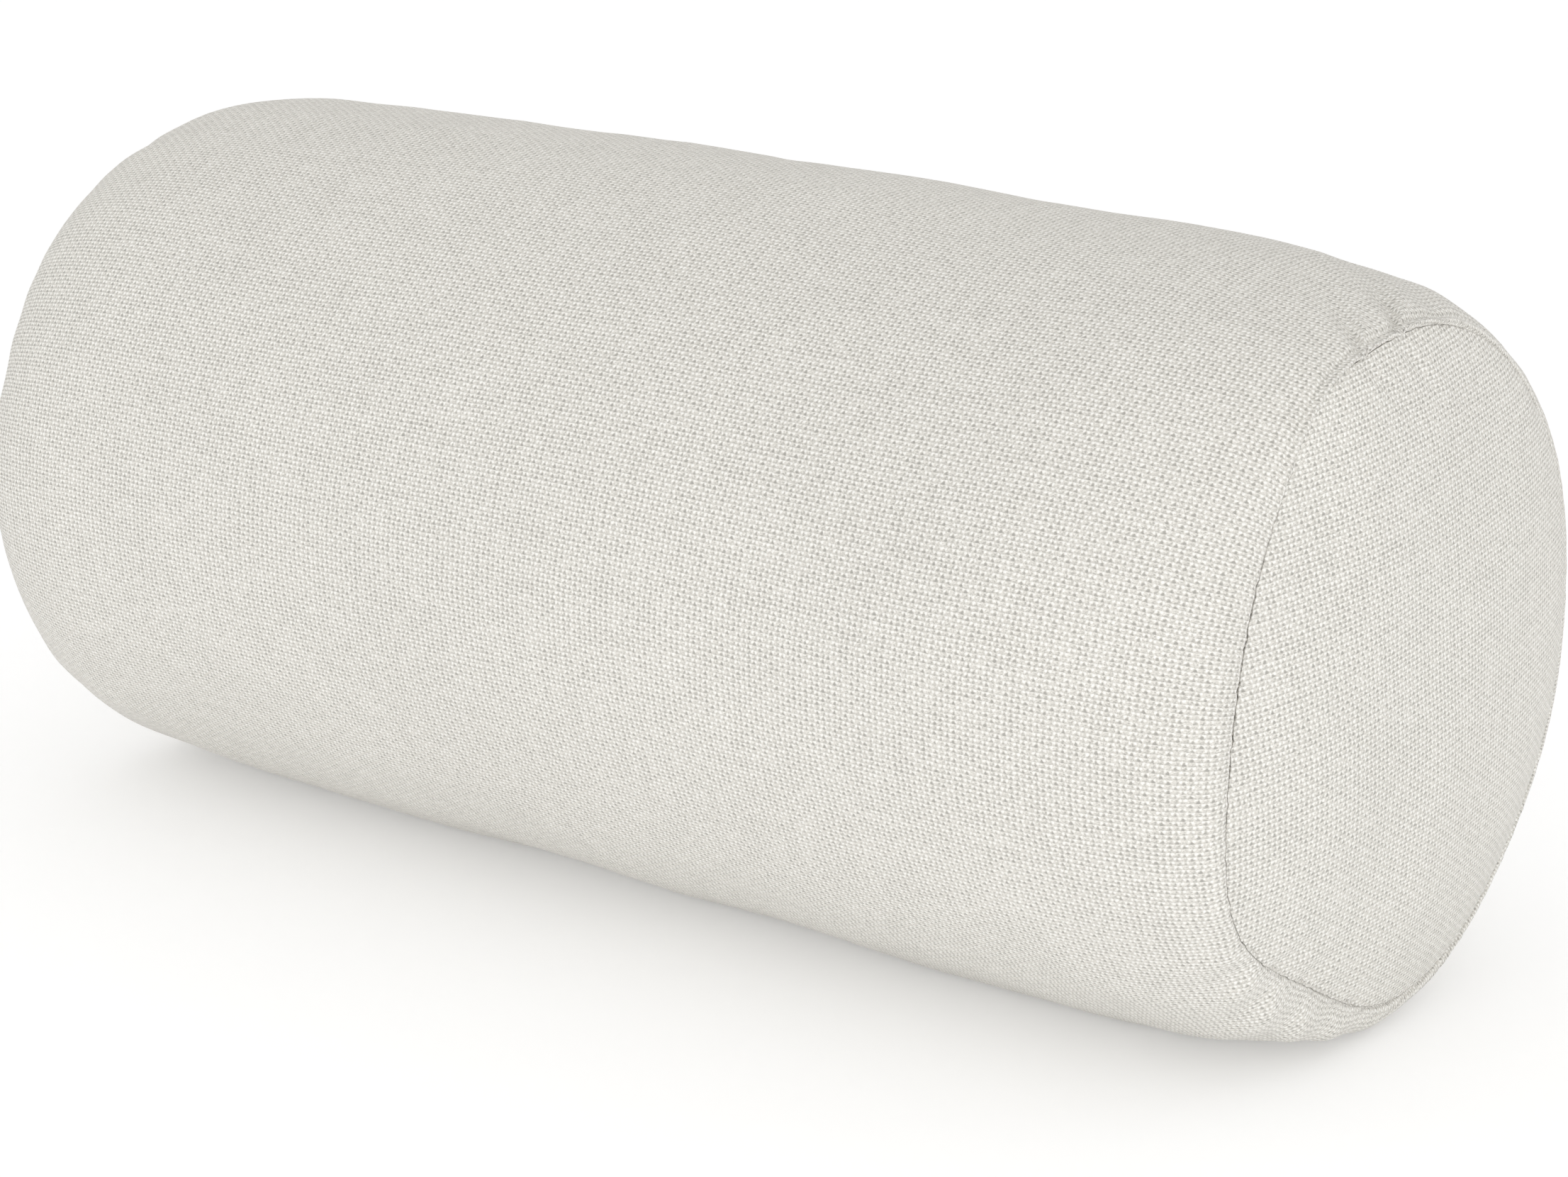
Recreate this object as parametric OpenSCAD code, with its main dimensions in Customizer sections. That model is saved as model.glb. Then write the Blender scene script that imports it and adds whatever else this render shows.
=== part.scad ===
// Bolster pillow: a foam roll wrapped in wadding and a liner, inside a woven cover that closes with a zip.
// X runs along the bolster, +Z is up, and the zip lies along the back, which faces +Y.
// The origin is the centre of the flat that the bolster rests on.

/* [Bolster] */
// Diameter of the stuffed cover
body_d = 180; // [172:1:200]
// Distance between the two end seams
seam_span = 366; // [350:1:420]
// Diameter of the end seams, where the side panel is drawn in
seam_d = 154; // [148:1:160]
// Length over which the side panel curves in to an end seam
shoulder = 33; // [30:1:36]
// Height of an end panel's dome above its seam
dome = 12; // [10:0.5:16]
// Width of the flat under the bolster's own weight
rest_w = 50; // [40:1:60]

/* [Cover cloth] */
// Thickness of the woven cover cloth
cloth_t = 1; // [0.8:0.1:1.2]
// Width of the cloth turned in at an end seam
allowance_w = 10; // [8:0.5:11]
// Width of the hem folded under beside the zip
hem_w = 12; // [10:0.5:14]
// Diameter of the sewing thread
thread_d = 0.5; // [0.4:0.1:0.6]

/* [Zip] */
// Length of the slot that the zip closes
slot_l = 306; // [280:1:308]
// Width of the slot between the two folded hems
slot_w = 10.4; // [10.2:0.1:12]
// Thickness of the zip tape
tape_t = 0.7; // [0.5:0.1:0.7]
// Width of one tape, from its coil edge
tape_w = 14; // [12:0.5:15]
// Height of the nylon coils above the tape
coil_h = 2.3; // [2:0.1:2.4]
// Width of one coil
coil_w = 2.5; // [2.3:0.1:2.6]
// Length of the slider body
slider_l = 11; // [10:0.5:12]
// Length of the pull tab beyond its hinge bar
tab_l = 27; // [22:1:32]

/* [Filling] */
// Thickness of the liner cloth
liner_t = 0.5; // [0.4:0.1:0.6]
// Thickness of the wadding between the foam core and the liner
wadding_t = 14; // [10:1:16]
// Length of the foam core
core_l = 320; // [290:1:326]

/* [Hidden] */
$fn = 96;

body_r = body_d / 2;
seam_r = seam_d / 2;
half_span = seam_span / 2;
axis_z = sqrt(pow(body_r, 2) - pow(rest_w / 2, 2));
reach = 2 * seam_span;
// Gap left between two layers that rest against each other
layer_gap = 0.1;

// Radii, measured from the bolster's axis, of the layers that meet at the zip
hem_r = body_r - cloth_t;
tape_r = hem_r - cloth_t - layer_gap;
coil_r = tape_r + coil_h;
// Half of the slit between the two tapes, where the slider's post runs
slit = 0.7;
run_gap = 0.3;
plate_t = 1.1;
slider_w = slot_w - 1.6;
slider_top = coil_r + run_gap + plate_t;
slider_bottom = tape_r - tape_t - run_gap - plate_t;
slider_x = -slot_l / 2 + slider_l / 2 + 3.5;
hinge_r = 0.6;
tab_t = 1.4;
tab_arm = 1;
// Height of the hinge over the slider, which clears the square edge of the tab as it turns
tab_lift = 1.1;
tab_y = slider_top + tab_lift;
bridge_w = 2.4;
bridge_t = 0.9;
bridge_l = 7;

// The filled liner is a little smaller than the cover, which leaves the seams their room
liner_r = body_r - cloth_t - layer_gap;
liner_half = half_span - 4;
liner_seam_r = seam_r - 5;
liner_dome = half_span + dome - cloth_t - layer_gap - liner_half;
liner_shoulder = shoulder + 1;
liner_back_y = slider_bottom - run_gap;
core_r = liner_r - liner_t - layer_gap - wadding_t;

cover_colour = [0.88, 0.865, 0.835];
thread_colour = [0.85, 0.83, 0.79];
tape_colour = [0.86, 0.84, 0.8];
coil_colour = [0.9, 0.88, 0.84];
metal_colour = [0.72, 0.72, 0.72];
liner_colour = [0.95, 0.95, 0.94];
wadding_colour = [0.97, 0.97, 0.97];
foam_colour = [0.93, 0.88, 0.68];

function arc(centre, r, from, to, steps) =
    [for (i = [0:steps]) let (a = from + (to - from) * i / steps) centre + r * [cos(a), sin(a)]];

// Outline from the middle of a dome to the end of its shoulder, as [radius, height] points
function half_outline(r, half, end_r, curve, rise) =
    let (
        dome_r = (pow(end_r, 2) + pow(rise, 2)) / (2 * rise),
        drop = r - end_r,
        curve_r = (pow(curve, 2) + pow(drop, 2)) / (2 * drop)
    )
    concat(
        arc([0, half + rise - dome_r], dome_r, 90, acos(end_r / dome_r), 7),
        arc([r - curve_r, half - curve], curve_r, atan2(curve, curve_r - drop), 0, 8)
    );

function reversed(list) = [for (i = [len(list) - 1:-1:0]) list[i]];

// Roll with drawn-in ends, standing on a flat at floor_z
module roll(r, half, end_r, curve, rise, floor_z) {
    upper = half_outline(r, half, end_r, curve, rise);
    lower = [for (p = reversed(upper)) [p[0], -p[1]]];
    intersection() {
        translate([0, 0, axis_z])
            rotate([0, 90, 0])
                rotate_extrude()
                    polygon(concat(upper, lower));
        translate([-reach, -reach, floor_z])
            cube([2 * reach, 2 * reach, reach]);
    }
}

module cover_form(inset) {
    roll(body_r - inset, half_span - inset, seam_r - inset, shoulder, dome, inset);
}

// The liner also lies flat against the back of the zip
module liner_form(inset) {
    intersection() {
        roll(liner_r - inset, liner_half - inset, liner_seam_r - inset, liner_shoulder, liner_dome,
            cloth_t + layer_gap + inset);
        translate([-reach, -reach, -reach])
            cube([2 * reach, reach + liner_back_y - inset, 2 * reach]);
    }
}

module slab(x0, x1) {
    translate([x0, -reach, -reach])
        cube([x1 - x0, 2 * reach, 2 * reach]);
}

// Everything past a plane near the end that side names: -1 is left, 1 is right
module beyond(side, x) {
    if (side > 0)
        slab(x, reach);
    else
        slab(-reach, -x);
}

module about_axis() {
    translate([0, 0, axis_z])
        rotate([0, 90, 0])
            children();
}

// Strip of cloth turned in at an end seam, lying along the inside of the shoulder
module turned_strip(side, depth) {
    root = [seam_r - 0.6 * cloth_t - depth, half_span - 0.8 * cloth_t + 0.6 * depth];
    tip = [seam_r + 0.52 * allowance_w - depth, half_span - allowance_w];
    across = 0.6 * cloth_t;
    about_axis()
        rotate_extrude()
            polygon([for (p = [root, tip, tip - [across, 0], root - [across, 0]]) [p[0], side * p[1]]]);
}

// Curved strip along the back, from z0 to z1 above the axis
module back_strip(r0, r1, z0, z1, length) {
    translate([0, 0, axis_z])
        intersection() {
            rotate([0, 90, 0])
                difference() {
                    cylinder(r = r1, h = length, center = true);
                    cylinder(r = r0, h = length + 2, center = true);
                }
            translate([-length, 0, z0])
                cube([2 * length, reach, z1 - z0]);
        }
}

// Plate in the XZ plane with round corners, from y0 to y1
module back_plate(x0, x1, width, corner, y0, y1) {
    translate([0, y1, axis_z])
        rotate([90, 0, 0])
            linear_extrude(y1 - y0)
                rounded_outline(x0, x1, width, corner);
}

module rounded_outline(x0, x1, width, corner) {
    translate([x0 + corner, -width / 2])
        square([x1 - x0 - 2 * corner, width]);
    translate([x0, corner - width / 2])
        square([x1 - x0, width - 2 * corner]);
    for (x = [x0 + corner, x1 - corner], y = [corner - width / 2, width / 2 - corner])
        translate([x, y])
            circle(corner);
}

module cover_side_panel() {
    color(cover_colour) {
        difference() {
            intersection() {
                cover_form(0);
                slab(-half_span + cloth_t / 2, half_span - cloth_t / 2);
            }
            cover_form(cloth_t);
            about_axis()
                cylinder(r = seam_r - cloth_t, h = reach, center = true);
            back_plate(-slot_l / 2, slot_l / 2, slot_w, 2, body_r - 10, body_r + 10);
        }
        for (side = [-1, 1]) {
            turned_strip(side, 0);
            z0 = side > 0 ? slot_w / 2 : -slot_w / 2 - hem_w;
            back_strip(hem_r - cloth_t, hem_r, z0, z0 + hem_w, slot_l);
        }
    }
}

module cover_end_panel(side) {
    color(cover_colour) {
        difference() {
            intersection() {
                cover_form(0);
                beyond(side, half_span - cloth_t / 2);
            }
            cover_form(cloth_t);
        }
        turned_strip(side, cloth_t);
    }
}

module end_seam_thread(side) {
    color(thread_colour)
        about_axis()
            translate([0, 0, side * (half_span - 3 * cloth_t)])
                rotate_extrude()
                    translate([seam_r - 2 * cloth_t, 0])
                        circle(d = thread_d, $fn = 24);
}

// Rows that close the back of the side panel past the two ends of the zip
module back_seam_threads() {
    color(thread_colour)
        for (side = [-1, 1])
            translate([side * (slot_l / 2 + 5), tape_r - 2 * cloth_t, axis_z])
                rotate([0, 90, 0])
                    cylinder(d = thread_d, h = 8, center = true, $fn = 24);
}

module zip_tape(side) {
    z0 = side > 0 ? slit : -slit - tape_w;
    color(tape_colour)
        back_strip(tape_r - tape_t, tape_r, z0, z0 + tape_w, slot_l - 2);
}

module zip_coil(side) {
    bar = coil_w - coil_h / 2;
    color(coil_colour)
        translate([0, tape_r + coil_h / 2 + 0.02, axis_z + side * slit])
            rotate([0, 90, 0])
                linear_extrude(slot_l - 8, center = true) {
                    translate([side > 0 ? -bar : 0, -coil_h / 2])
                        square([bar, coil_h]);
                    translate([-side * bar, 0])
                        circle(d = coil_h, $fn = 32);
                }
}

module zip_stitching(side) {
    color(thread_colour)
        translate([0, 0, axis_z])
            rotate([side * 7, 0, 0])
                translate([0, body_r + thread_d / 2 + 0.02, 0])
                    rotate([0, 90, 0])
                        cylinder(d = thread_d, h = slot_l - 6, center = true, $fn = 24);
}

// One small clamp on each tape, past the closed end of the coils
module zip_top_stops() {
    color(metal_colour)
        for (side = [-1, 1])
            translate([-slot_l / 2 + 2.4, tape_r + 0.02, axis_z + side * (slit + coil_w / 2)])
                rotate([-90, 0, 0])
                    translate([-0.8, -1, 0])
                        cube([1.6, 2, coil_h]);
}

// One clamp across both tapes, past the open end of the coils
module zip_bottom_stop() {
    stop_x = slot_l / 2 - 2.4;
    color(metal_colour)
        back_plate(stop_x - 1, stop_x + 1, 6, 0.5, tape_r + 0.1, coil_r);
}

module zip_slider() {
    x0 = slider_x - slider_l / 2;
    x1 = slider_x + slider_l / 2;
    rail = 0.7;
    color(metal_colour) {
        back_plate(x0, x1, slider_w, 2, slider_top - plate_t, slider_top);
        back_plate(x0, x1, slider_w, 2, slider_bottom, slider_bottom + plate_t);
        for (side = [-1, 1])
            translate([x0 + 2, tape_r + run_gap, axis_z + side * (slider_w - rail) / 2 - rail / 2])
                cube([slider_l - 4, slider_top - plate_t / 2 - tape_r - run_gap, rail]);
        translate([x0 + 0.6, slider_bottom + plate_t / 2, axis_z - slit + run_gap])
            cube([2.6, slider_top - slider_bottom - plate_t, 2 * (slit - run_gap)]);
        slider_bridge();
    }
}

// Low arch on the slider, which the pull tab's bar turns under
module slider_bridge() {
    bridge_top = tab_y + hinge_r + 0.3 + bridge_t;
    post = 0.9;
    translate([slider_x - bridge_l / 2, slider_top - 0.3, axis_z - bridge_w / 2])
        difference() {
            cube([bridge_l, bridge_top - slider_top + 0.3, bridge_w]);
            translate([post, 0.3, -1])
                cube([bridge_l - 2 * post, bridge_top - slider_top - bridge_t, bridge_w + 2]);
        }
}

module zip_pull_tab() {
    window_w = bridge_w + 0.8;
    window_l = 6;
    outer_w = window_w + 2 * tab_arm;
    color(metal_colour) {
        translate([slider_x, tab_y, axis_z])
            cylinder(r = hinge_r, h = window_w + tab_arm, center = true, $fn = 32);
        translate([0, tab_y + tab_t / 2, axis_z])
            rotate([90, 0, 0])
                linear_extrude(tab_t)
                    difference() {
                        translate([slider_x, 0])
                            rounded_outline(-tab_t / 2, tab_l, outer_w, tab_t / 2);
                        translate([slider_x - tab_t, -window_w / 2])
                            square([window_l + tab_t, window_w]);
                        translate([slider_x + tab_l - 4, 0])
                            circle(d = 2.2);
                    }
    }
}

// Blank tag caught in the left end seam, lying on the end panel
module care_label() {
    label_w = 20;
    label_l = 30;
    label_t = 0.4;
    dome_r = (pow(seam_r, 2) + pow(dome, 2)) / (2 * dome);
    color(liner_colour)
        intersection() {
            translate([dome_r - half_span - dome, 0, axis_z])
                difference() {
                    sphere(dome_r + layer_gap + label_t, $fn = 200);
                    sphere(dome_r + layer_gap, $fn = 200);
                }
            translate([-reach, seam_r - label_l - 1, axis_z - label_w / 2])
                cube([reach, label_l, label_w]);
        }
}

module liner_side_panel() {
    color(liner_colour)
        difference() {
            intersection() {
                liner_form(0);
                slab(-liner_half + liner_t / 2, liner_half - liner_t / 2);
            }
            liner_form(liner_t);
        }
}

module liner_end(side) {
    color(liner_colour)
        difference() {
            intersection() {
                liner_form(0);
                beyond(side, liner_half - liner_t / 2);
            }
            liner_form(liner_t);
        }
}

module liner_seam_threads() {
    color(thread_colour)
        about_axis()
            for (side = [-1, 1])
                translate([0, 0, side * (liner_half + 0.3)])
                    rotate_extrude()
                        translate([liner_seam_r + thread_d + 0.1, 0])
                            circle(d = thread_d, $fn = 24);
}

module wadding_wrap() {
    color(wadding_colour)
        difference() {
            intersection() {
                liner_form(liner_t + layer_gap);
                slab(-core_l / 2, core_l / 2);
            }
            about_axis()
                cylinder(r = core_r + layer_gap, h = reach, center = true);
        }
}

module wadding_end(side) {
    color(wadding_colour)
        intersection() {
            liner_form(liner_t + layer_gap);
            beyond(side, core_l / 2 + layer_gap);
        }
}

module foam_core() {
    color(foam_colour)
        about_axis()
            cylinder(r = core_r, h = core_l, center = true);
}

cover_side_panel();
cover_end_panel(-1);  // cover_end_panel_left
cover_end_panel(1);  // cover_end_panel_right
end_seam_thread(-1);  // end_seam_thread_left
end_seam_thread(1);  // end_seam_thread_right
back_seam_threads();
zip_tape(1);  // zip_tape_upper
zip_tape(-1);  // zip_tape_lower
zip_coil(1);  // zip_coil_upper
zip_coil(-1);  // zip_coil_lower
zip_stitching(1);  // zip_stitching_upper
zip_stitching(-1);  // zip_stitching_lower
zip_top_stops();
zip_bottom_stop();
zip_slider();
zip_pull_tab();
care_label();
liner_side_panel();
liner_end(-1);  // liner_end_left
liner_end(1);  // liner_end_right
liner_seam_threads();
wadding_wrap();
wadding_end(-1);  // wadding_end_left
wadding_end(1);  // wadding_end_right
foam_core();
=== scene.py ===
"""A bolster pillow: woven cover with sewn round ends, a zip along the back, and a wrapped foam roll inside.

X runs along the bolster, -Y is its front, +Z is up. theta is the angle about the bolster's axis: 0 at the
front, 90 degrees at the top and 180 at the back, where the zip is. side is 1 at the right end and -1 at the
left. For the zip's halves it is 1 for the upper one and -1 for the lower one.
"""

import math

import bmesh
import bpy
import numpy as np
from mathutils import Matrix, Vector
from mathutils.bvhtree import BVHTree


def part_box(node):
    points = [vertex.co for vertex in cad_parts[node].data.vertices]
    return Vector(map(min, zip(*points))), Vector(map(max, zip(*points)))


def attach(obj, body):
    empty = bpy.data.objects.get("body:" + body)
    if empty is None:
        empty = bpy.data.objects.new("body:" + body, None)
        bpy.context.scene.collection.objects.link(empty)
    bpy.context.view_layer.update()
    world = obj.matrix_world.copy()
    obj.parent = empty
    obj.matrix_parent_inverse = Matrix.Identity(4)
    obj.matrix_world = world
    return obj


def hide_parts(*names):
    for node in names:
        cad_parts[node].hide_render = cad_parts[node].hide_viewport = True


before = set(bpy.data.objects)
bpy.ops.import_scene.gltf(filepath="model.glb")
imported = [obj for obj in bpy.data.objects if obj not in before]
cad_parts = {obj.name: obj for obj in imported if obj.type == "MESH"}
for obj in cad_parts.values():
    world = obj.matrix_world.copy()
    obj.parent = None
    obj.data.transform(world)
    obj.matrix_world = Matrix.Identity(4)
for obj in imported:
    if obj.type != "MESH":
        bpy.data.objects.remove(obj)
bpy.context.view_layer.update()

MM = 0.001

# Sizes that come from the frame
side_low, side_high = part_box("cover_side_panel")
RADIUS = -side_low.y
AXIS_Z = side_high.z - RADIUS
HALF_SPAN = side_high.x + 0.5 * MM
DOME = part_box("cover_end_panel_right")[1].x - HALF_SPAN
SLOT_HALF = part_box("zip_tape_upper")[1].x + 1 * MM

# Thickness of the cover's cloth, and the spacing of its threads
CLOTH_T = 0.9 * MM
THREAD_ALONG = 1.53 * MM
THREAD_AROUND = 1.07 * MM

# Spacing of the threads of the other woven pieces
LINER_THREAD = 0.5 * MM
TAPE_THREAD = 0.45 * MM
RIBBON_THREAD = 0.2 * MM

# The zip's angle, the width of its slot, and how far its topstitching is from its middle, also as an angle
ZIP_THETA = math.pi
SLOT_W = 10.4 * MM
TOPSTITCH_AT = 11 * MM
TOPSTITCH_ANGLE = math.radians(7)

# The cloth turns down into the end seams at 45 degrees
SLANT = math.sqrt(0.5)


def end_word(side):
    return "right" if side > 0 else "left"


def zip_word(side):
    return "upper" if side > 0 else "lower"


def add_object(name, data):
    made = bpy.data.objects.new(name, data)
    bpy.context.scene.collection.objects.link(made)
    return made


def point_at(piece, location, target):
    piece.location = location
    piece.rotation_euler = (target - location).to_track_quat("-Z", "Y").to_euler()


# ---------------------------------------------------------------------------------------- camera and light


def make_camera():
    azimuth, elevation, distance = math.radians(37.6), math.radians(16.68), 10.13 * RADIUS
    target = Vector((0.144 * RADIUS, 0, AXIS_Z - 0.148 * RADIUS))
    back = Vector((
        math.sin(azimuth) * math.cos(elevation),
        -math.cos(azimuth) * math.cos(elevation),
        math.sin(elevation),
    ))
    data = bpy.data.cameras.new("camera")
    data.sensor_width = 36
    data.lens = 85.8
    camera = add_object("camera", data)
    point_at(camera, target + distance * back, target)
    bpy.context.scene.camera = camera


def area_light(name, location, aim, size, power):
    data = bpy.data.lights.new(name, "AREA")
    data.shape = "RECTANGLE"
    data.size, data.size_y = size
    data.energy = power
    point_at(add_object(name, data), Vector(location), Vector(aim))


def make_studio():
    bpy.context.scene.view_settings.view_transform = "Standard"
    world = bpy.data.worlds.new("studio")
    bpy.context.scene.world = world
    world.use_nodes = True
    background = world.node_tree.nodes["Background"]
    background.inputs["Color"].default_value = (1, 0.995, 0.985, 1)
    background.inputs["Strength"].default_value = 0.9
    area_light("key", (1.25, -1.5, 0.42), (0, 0, 0.09), (1.1, 0.9), 9)

    mesh = bpy.data.meshes.new("floor")
    reach = 8
    corners = [(-reach, -reach, 0), (reach, -reach, 0), (reach, reach, 0), (-reach, reach, 0)]
    mesh.from_pydata(corners, [], [(0, 1, 2, 3)])
    floor = add_object("floor", mesh)
    material = bpy.data.materials.new("white_floor")
    material.use_nodes = True
    shader = material.node_tree.nodes["Principled BSDF"]
    shader.inputs["Base Color"].default_value = (0.945, 0.947, 0.953, 1)
    shader.inputs["Roughness"].default_value = 0.9
    shader.inputs["Specular IOR Level"].default_value = 0.1
    shader.inputs["Emission Color"].default_value = (1, 1, 1, 1)
    shader.inputs["Emission Strength"].default_value = 0.16
    floor.data.materials.append(material)


# ----------------------------------------------------------------------------------------------- materials


class Wire:
    """A node's output. Sums, differences and products of wires and plain numbers make their own nodes."""

    def __init__(self, maker, socket):
        self.maker = maker
        self.socket = socket

    def __add__(self, other):
        return self.maker.math("ADD", self, other)

    def __sub__(self, other):
        return self.maker.math("SUBTRACT", self, other)

    def __rsub__(self, other):
        return self.maker.math("SUBTRACT", other, self)

    def __mul__(self, other):
        return self.maker.math("MULTIPLY", self, other)

    __radd__ = __add__
    __rmul__ = __mul__


class Maker:
    """Builds a material's nodes from short formulas. Wires and plain numbers can be mixed."""

    def __init__(self, name):
        self.material = bpy.data.materials.new(name)
        self.material.use_nodes = True
        self.tree = self.material.node_tree
        self.shader = self.tree.nodes["Principled BSDF"]

    def node(self, kind, **settings):
        made = self.tree.nodes.new(kind)
        for key, value in settings.items():
            setattr(made, key, value)
        return made

    def feed(self, made, *values):
        """Gives a node's first inputs their values."""
        for socket, value in zip(made.inputs, values):
            self.put(socket, value)

    def put(self, socket, value):
        if isinstance(value, Wire):
            self.tree.links.new(value.socket, socket)
        else:
            socket.default_value = value

    def out(self, made, name=0):
        return Wire(self, made.outputs[name])

    def math(self, operation, a, b=0.0):
        made = self.node("ShaderNodeMath", operation=operation)
        self.feed(made, a, b)
        return self.out(made)

    def attribute(self, name):
        return self.out(self.node("ShaderNodeAttribute", attribute_name=name), "Vector")

    def position(self):
        return self.out(self.node("ShaderNodeTexCoord"), "Object")

    def split(self, vector):
        made = self.node("ShaderNodeSeparateXYZ")
        self.feed(made, vector)
        return [self.out(made, k) for k in range(3)]

    def join(self, x, y, z=0.0):
        made = self.node("ShaderNodeCombineXYZ")
        self.feed(made, x, y, z)
        return self.out(made)

    def noise(self, vector, scale, detail=2.0, roughness=0.5):
        made = self.node("ShaderNodeTexNoise")
        self.put(made.inputs["Vector"], vector)
        made.inputs["Scale"].default_value = scale
        made.inputs["Detail"].default_value = detail
        made.inputs["Roughness"].default_value = roughness
        return self.out(made, "Fac")

    def streaks(self, x, y, z=0.0, detail=1.0, roughness=0.5):
        """Noise over coordinates that were stretched one by one."""
        return self.noise(self.join(x, y, z), 1.0, detail, roughness)

    def remap(self, value, low, high, to_low, to_high):
        made = self.node("ShaderNodeMapRange")
        self.feed(made, value, low, high, to_low, to_high)
        return self.out(made)

    def ramp(self, value, *stops):
        made = self.node("ShaderNodeValToRGB")
        ramp = made.color_ramp
        while len(ramp.elements) < len(stops):
            ramp.elements.new(0.5)
        for element, (place, colour) in zip(ramp.elements, stops):
            element.position = place
            element.color = (*colour, 1)
        self.feed(made, value)
        return self.out(made)

    def shade(self, colour, factor):
        made = self.node("ShaderNodeVectorMath", operation="SCALE")
        self.feed(made, colour)
        self.put(made.inputs["Scale"], factor)
        return self.out(made)

    def bump(self, height, distance, strength=1.0):
        made = self.node("ShaderNodeBump")
        made.inputs["Strength"].default_value = strength
        made.inputs["Distance"].default_value = distance
        self.put(made.inputs["Height"], height)
        return self.out(made)

    def finish(self, colour, roughness, normal, sheen=0.0, specular=0.3, metallic=0.0):
        self.put(self.shader.inputs["Base Color"], colour)
        self.put(self.shader.inputs["Roughness"], roughness)
        self.put(self.shader.inputs["Normal"], normal)
        self.shader.inputs["Sheen Weight"].default_value = sheen
        self.shader.inputs["Sheen Roughness"].default_value = 0.45
        self.shader.inputs["Specular IOR Level"].default_value = specular
        self.shader.inputs["Metallic"].default_value = metallic
        return self.material


def plain_weave(m, coordinates, wobble, round_share):
    """Height of a plain weave, from 0 in the gaps to 1 on the knuckles. coordinates count threads both ways.
    round_share is how much of it comes from the threads' roundness, and the rest comes from their waves."""
    wander = m.noise(m.position(), 35, 1.0)
    along, around, _ = m.split(coordinates)
    shift = (wander - 0.5) * wobble
    along = along + shift
    around = around - shift
    along_no = m.math("FLOOR", along)
    around_no = m.math("FLOOR", around)

    def roundness(value, number):
        across = (value - number) * 2 - 1
        return m.math("SQRT", m.math("MAXIMUM", 1 - across * across, 0))

    def wave(value, other_number):
        """Over one thread and under the next, the other way round for every other thread."""
        return m.math("COSINE", (value - 0.5) * math.pi) * m.math("COSINE", other_number * math.pi)

    wave_share = 1 - round_share
    high_along = roundness(around, around_no) * round_share + wave(along, around_no) * wave_share
    high_around = roundness(along, along_no) * round_share - wave(around, along_no) * wave_share
    return m.math("MAXIMUM", high_along, high_around)


def bell(m, *terms):
    """1 at the middle of a spot and 0 away from it. A term is (offset from the middle, half width)."""
    total = 0.0
    for offset, width in terms:
        share = offset * (1 / width)
        total = total + share * share
    return m.math("EXPONENT", total * -1)


def knuckle_relief_and_painted_light(m, along, around):
    """Surface of one coarse plain weave, with light from above painted into it: about -1 in its shaded
    pinholes to
    1 on the painted highlights of its knuckles' upper shoulders. Every other cell is a knuckle: two
    highlighted shoulders with a painted shadow tapering below them. The rest lie lower, with painted shade in
    their pits.
    The same values also give the cloth's bump."""
    along_no, around_no = m.math("FLOOR", along), m.math("FLOOR", around)
    u = along - along_no - 0.5
    v = around - around_no - 0.5
    low_cell = m.math("FLOORED_MODULO", along_no + around_no, 2.0)
    chance = m.node("ShaderNodeTexWhiteNoise", noise_dimensions="2D")
    m.put(chance.inputs["Vector"], m.join(along_no, around_no))
    luck = m.out(chance, "Value")
    shoulder_at = m.math("ABSOLUTE", u) - (low_cell * 0.3 + 0.35)
    # painted highlight on the upper shoulders of each knuckle, as if lit from above
    shoulders = bell(m, (shoulder_at, 0.19), (v - 0.20, 0.28))
    spread = m.math("MAXIMUM", 0.16 - v * 0.34, 0.06)
    wedge_side = m.math("DIVIDE", u - 0.02, spread)
    # painted shadow in a tapering patch below each knuckle
    shadow_wedge = bell(m, (wedge_side, 1.0), (v + 0.20, 0.33)) * (1 - low_cell)
    # lower cells: painted shade in their pits and a painted highlight on their upper crest; these also shape
    # the bump
    hollow_shade = bell(m, (u - 0.25, 0.16), (v - 0.07, 0.2)) * 0.55
    hollow_shade = hollow_shade + bell(m, (u - 0.07, 0.32), (v + 0.32, 0.2)) * 0.55
    crest = bell(m, (u + 0.1, 0.22), (v - 0.2, 0.14)) * 0.3
    low_relief_and_shade = low_cell * (crest - hollow_shade * m.remap(luck, 0, 1, 0.4, 1.5))
    # painted highlights: the knuckles' shoulders and the upper edge of every cell
    lit = shoulders * m.remap(luck, 0, 1, 0.95, 1.9) + bell(m, (v - 0.38, 0.15)) * 0.12
    painted_shadow = shadow_wedge * m.remap(luck, 0, 1, 1.9, 0.5)
    return lit - painted_shadow + low_relief_and_shade - 0.12


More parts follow.
